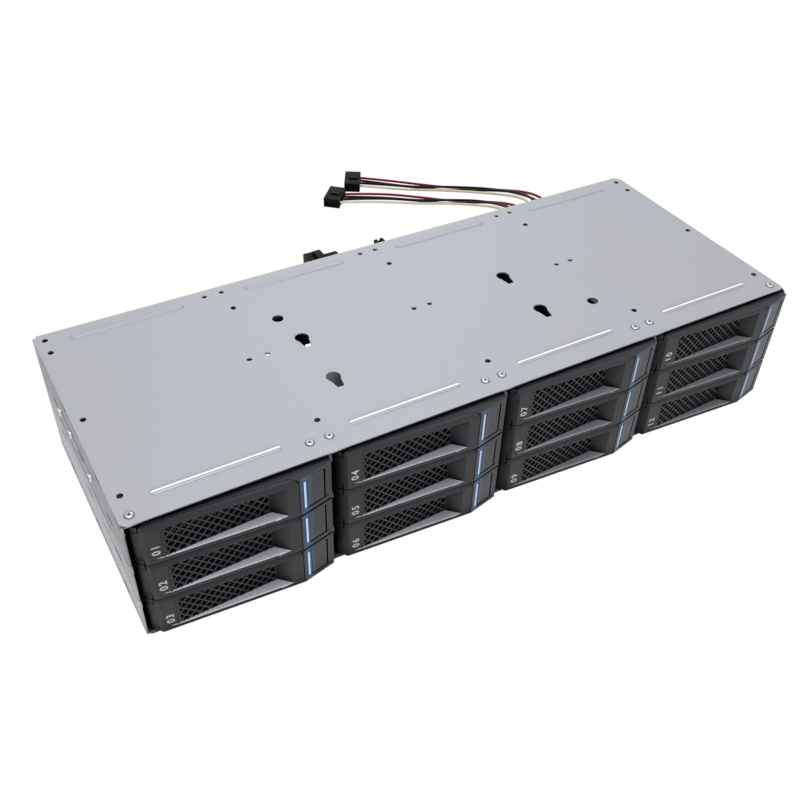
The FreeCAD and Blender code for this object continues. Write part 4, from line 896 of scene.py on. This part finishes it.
button_abs = black_abs("button_abs_satin", "20212B", 0.36, glow=True)
button_pattern = worked_copy("release_button_r1_c1", "button_pattern")
dress(button_pattern, (button_abs, edge_highlight_abs))
break_edges(button_pattern, BUTTON_BREAK, 35, 1)
fill_bays(button_pattern, "button", "release_button")


# ---------------------------------------------------------------------------
# Screws. Zinc plated pan heads with a cross recess, M3, in steel. Those of the
# plate sit in shallow dishes pressed into the sheet.

HEAD_RADIUS = 2.15 * MM
HEAD_HEIGHT = 0.8 * MM
SHANK_RADIUS = 1.4 * MM
DISH_PROFILE = [(2.65 * MM, 0.03 * MM), (2.2 * MM, 0.02 * MM)]
HEAD_PROFILE = [(HEAD_RADIUS, 0.0), (HEAD_RADIUS, 0.35 * MM), (1.95 * MM, 0.60 * MM), (1.5 * MM, 0.74 * MM),
                (1.25 * MM, HEAD_HEIGHT)]
CROSS_BAR = (2.2 * MM, 0.62 * MM, 0.06 * MM)
CROSS_TURNS = (20, 110)
TURN_STEP = 37
SIDE_SCREW_SCALE = (1.15, 1.15, 1.7, 1)
HEAD, CROSS, DISH = range(3)


def bright_zinc():
    """Bright zinc with fine driver marks of 0.5 mm."""
    made, tree = new_material("bright_zinc_screw")
    marks = noise(tree, object_place(tree), 0.5 * MM, 3.0)
    surface(tree, {"Base Color": linear("C9CACE"), "Metallic": 1.0, "Roughness": between(tree, marks, 0.16, 0.34)})
    return made


def lathe(shape, profile, slot, steps=24):
    """Turns a profile of radius and height pairs about Z and returns its last ring."""
    rings = []
    for radius, height in profile:
        angles = [2 * math.pi * step / steps for step in range(steps)]
        rings.append([shape.verts.new((radius * math.cos(a), radius * math.sin(a), height)) for a in angles])
    for lower, upper in zip(rings, rings[1:]):
        for step in range(steps):
            after = (step + 1) % steps
            face = shape.faces.new((lower[step], lower[after], upper[after], upper[step]))
            face.material_index = slot
            face.smooth = slot == HEAD
    return rings[-1]


def make_screw():
    """Pan head in a dish of the sheet, with a cross recess; Z is the screw's own axis."""
    shape = bmesh.new()
    lathe(shape, DISH_PROFILE, DISH)
    shape.faces.new(lathe(shape, HEAD_PROFILE, HEAD)).smooth = True
    count = len(shape.faces)
    for turn in CROSS_TURNS:
        bar = bmesh.ops.create_cube(shape, size=1)["verts"]
        bmesh.ops.scale(shape, verts=bar, vec=CROSS_BAR)
        bmesh.ops.translate(shape, verts=bar, vec=(0, 0, HEAD_HEIGHT))
        bmesh.ops.rotate(shape, verts=bar, matrix=Matrix.Rotation(math.radians(turn), 3, "Z"))
    shape.faces.ensure_lookup_table()
    for face in shape.faces[count:]:
        face.material_index = CROSS
    return mesh_of(shape, "screw_pattern", screw_materials)


def make_side_screw():
    """Larger head for the side walls, with no dish."""
    mesh = screw_mesh.copy()
    mesh.transform(Matrix.Diagonal(SIDE_SCREW_SCALE))
    shape = opened(mesh)
    bmesh.ops.delete(shape, geom=[face for face in shape.faces if face.material_index == DISH], context="FACES")
    close(shape, mesh)
    return mesh


def facing(direction):
    """Turn that points Z along a direction."""
    return Vector(direction).to_track_quat("Z", "Y").to_matrix().to_4x4()


def screws(places):
    """Bmesh with a screw at each place in millimetres, each facing its direction and turned a step further."""
    whole = bmesh.new()
    for number, (place, direction) in enumerate(places):
        single = (side_screw_mesh if direction[0] else screw_mesh).copy()
        spin = Matrix.Rotation(math.radians(TURN_STEP * number), 4, "Z")
        single.transform(Matrix.Translation(Vector(place) * MM) @ facing(direction) @ spin)
        whole.from_mesh(single)
    return whole


def end_of_shank(whole, place, direction, length):
    """Plain cylinder of a shank whose end shows flush in the sheet; place and length are in millimetres."""
    made = bmesh.ops.create_cone(whole, cap_ends=True, segments=24, radius1=SHANK_RADIUS,
                                 radius2=SHANK_RADIUS, depth=length * MM)
    middle = Vector(place) * MM + Vector(direction) * (length * MM / 2)
    bmesh.ops.transform(whole, verts=made["verts"], matrix=Matrix.Translation(middle) @ facing(direction))


def finish_screws(whole, name, node):
    """Puts a set of screws in the place of its CAD node."""
    made = into_scene(name, mesh_of(whole, name, screw_materials))
    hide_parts(node)
    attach(made, "cage")


screw_materials = (bright_zinc(), plain_metal("screw_recess_shade", "101012", 0.6, 0.0),
                   plain_metal("sheet_dish_shade", "55555A", 0.5, 0.4))
screw_mesh = make_screw()
side_screw_mesh = make_side_screw()

CORNER_SCREW_MM = HALF_WIDTH_MM - 6.0
CORNER_SCREW_DEPTH_MM = 6.6
JOINT_SCREW_DEPTH_MM = 11.7
SIDE_SCREW_DEPTHS_MM = (63.3, 101.5, 122.8)
SIDE_SCREW_HEIGHT_MM = 62.0
BOARD_REAR_MM = 85.35
BOARD_SCREW_HEIGHTS_MM = (14.3, 69.7)
FLOOR_SHANK_MM = 1.6
BOARD_SHANK_MM = 2.4

joints = [(joint_x(line, side), FRONT_MM + JOINT_SCREW_DEPTH_MM) for line in DIVIDER_LINES for side in SIDES]
joints += [(side * CORNER_SCREW_MM, FRONT_MM + CORNER_SCREW_DEPTH_MM) for side in SIDES]
top_places = [((x, y, TOP_MM), (0, 0, 1)) for x, y in joints]
side_places = [((side * HALF_WIDTH_MM, FRONT_MM + depth, SIDE_SCREW_HEIGHT_MM), (side, 0, 0))
               for side in SIDES for depth in SIDE_SCREW_DEPTHS_MM]
sheet_screws = screws(top_places + side_places)
for x, y in joints:
    end_of_shank(sheet_screws, (x, y, 0.0), (0, 0, 1), FLOOR_SHANK_MM)
finish_screws(sheet_screws, "sheet_screws", "cage_screws")

board_columns = [-CORNER_SCREW_MM] + [joint_x(line, -1) for line in DIVIDER_LINES] + [CORNER_SCREW_MM]
board_places = [((x, BOARD_REAR_MM, z), (0, 1, 0)) for x in board_columns for z in BOARD_SCREW_HEIGHTS_MM]
rear_screws = screws(board_places)
for place, _ in board_places:
    end_of_shank(rear_screws, place, (0, -1, 0), BOARD_SHANK_MM)
finish_screws(rear_screws, "rear_screws", "board_screws")


# ---------------------------------------------------------------------------
# Backplane. Glass epoxy board with green solder mask and a pale routed edge;
# black moulded sockets, ports and headers are soldered to it.

def solder_mask():
    """Green mask over a faint pattern of traces 6 mm apart; faces that look up are bare board."""
    made, tree = new_material("glass_epoxy_green_mask")
    traces = add(tree, "ShaderNodeTexBrick", {
        "Vector": object_place(tree), "Scale": 1 / (6 * MM),
        "Color1": linear("2B3A1E"), "Color2": linear("31421F"), "Mortar": linear("3B4B22")})
    normal = add(tree, "ShaderNodeNewGeometry").outputs["Normal"]
    on_edge = maths(tree, "GREATER_THAN", along_axis(tree, normal, "Z"), 0.5)
    surface(tree, {"Base Color": mix_colours(tree, on_edge, traces.outputs["Color"], linear("D6D2BC")),
                   "Roughness": 0.35})
    return made


socket_nylon = black_abs("socket_nylon_black", "0B090D", 0.55, level=0.12)
paint(nodes["backplane_board"], solder_mask())
for node in ("drive_sockets", "data_ports", "signal_connectors", "power_headers"):
    paint(nodes[node], socket_nylon)


# ---------------------------------------------------------------------------
# Power leads. Four stranded wires each, PVC sleeved, from the board's header
# to a black nylon plug that lies on the floor behind the cage.

# Middle line of each lead from header to plug, the spacing of its wires and how far each wire
# rises from that line, all in millimetres and all at the same eight places along the lead.
LEAD_ROUTES_MM = {
    "outer": [(171.0, 97.55, 58.0), (175.0, 118.0, 56.0), (185.0, 150.0, 46.0), (181.0, 187.0, 33.0),
              (158.0, 227.0, 21.0), (144.0, 261.0, 10.0), (129.0, 286.0, 4.8), (112.06, 300.5, 4.2)],
    "inner": [(148.0, 97.55, 58.0), (152.0, 117.0, 55.5), (162.0, 145.0, 44.0), (162.0, 177.0, 31.5),
              (150.0, 210.0, 18.5), (137.0, 240.0, 8.5), (113.0, 268.0, 4.0), (83.70, 280.80, 4.2)],
}
LEAD_SPREAD_MM = [5.08, 4.2, 2.9, 3.1, 2.9, 3.0, 3.9, 5.0]
WIRE_RISE_MM = {
    "yellow": [0.0, -0.6, -1.2, -0.8, 0.6, -0.8, -0.9, 0.0],
    "black_a": [0.0, 0.5, 1.6, 1.1, -1.3, 0.9, 0.4, 0.0],
    "black_b": [0.0, -0.4, -1.1, 0.9, 1.5, -0.7, -0.6, 0.0],
    "red": [0.0, 0.7, 1.3, -1.0, -0.7, 1.2, 0.8, 0.0],
}
PLUG_TURN = {"outer": -30.0, "inner": -42.0}
WIRE_DIAMETER = 2.1 * MM
SLEEVE_COLOURS = {"yellow": "F4ECC8", "black": "080405", "red": "960C34"}


def sleeve(name, colour):
    """Extruded PVC: smooth, slightly waxy."""
    made, tree = new_material(name)
    marks = noise(tree, object_place(tree), 3 * MM, 3.0)
    surface(tree, {"Base Color": linear(colour), "IOR": 1.53, "Specular IOR Level": 0.1,
                   "Roughness": between(tree, marks, 0.32, 0.48)})
    return made


def wire_route(lead, wire):
    """Points of one wire: the lead's middle line moved sideways and up by the wire's place in it."""
    line = [Vector(point) for point in LEAD_ROUTES_MM[lead]]
    place_in_lead = list(WIRE_RISE_MM).index(wire) - (len(WIRE_RISE_MM) - 1) / 2
    turn = math.radians(PLUG_TURN[lead])
    points = []
    for index, point in enumerate(line):
        ahead = line[min(index + 1, len(line) - 1)] - line[max(index - 1, 0)]
        if index == 0:
            ahead = Vector((0, 1, 0))
        if index == len(line) - 1:
            ahead = Vector((-math.cos(turn), -math.sin(turn), 0))
        aside = Vector((ahead.y, -ahead.x, 0)).normalized()
        rise = Vector((0, 0, WIRE_RISE_MM[wire][index]))
        points.append((point + aside * (place_in_lead * LEAD_SPREAD_MM[index]) + rise) * MM)
    return points


def wire_curve(name, points):
    """Round wire along a route, with closed ends."""
    curve = bpy.data.curves.new(name, "CURVE")
    curve.dimensions = "3D"
    spline = curve.splines.new("NURBS")
    spline.points.add(len(points) - 1)
    for spot, point in zip(spline.points, points):
        spot.co = (*point, 1)
        spot.radius = WIRE_DIAMETER / 2
    spline.order_u = 3
    spline.use_endpoint_u = True
    curve.resolution_u = 10
    curve.bevel_depth = 1
    curve.bevel_resolution = 3
    curve.use_fill_caps = True
    return into_scene(name, curve)


def spline_length(wire):
    """Length of a wire's middle line, read from the curve with no bevel."""
    depth = wire.data.bevel_depth
    wire.data.bevel_depth = 0
    places = [v.co for v in evaluated_mesh(wire).vertices]
    wire.data.bevel_depth = depth
    return sum((b - a).length for a, b in zip(places, places[1:]))


sleeves = {colour: sleeve(f"pvc_sleeve_{colour}", code) for colour, code in SLEEVE_COLOURS.items()}
for lead in LEAD_ROUTES_MM:
    plug = nodes[f"plug_{lead}"]
    paint(plug, socket_nylon)
    for wire in WIRE_RISE_MM:
        colour = wire.split("_")[0]
        points = wire_route(lead, wire)
        lead_wire = wire_curve(f"lead_{lead}_{wire}", points)
        lead_wire.data.materials.append(sleeves[colour])
        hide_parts(f"wire_{lead}_{wire}")
        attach(lead_wire, "cage")
        spline_length(lead_wire)
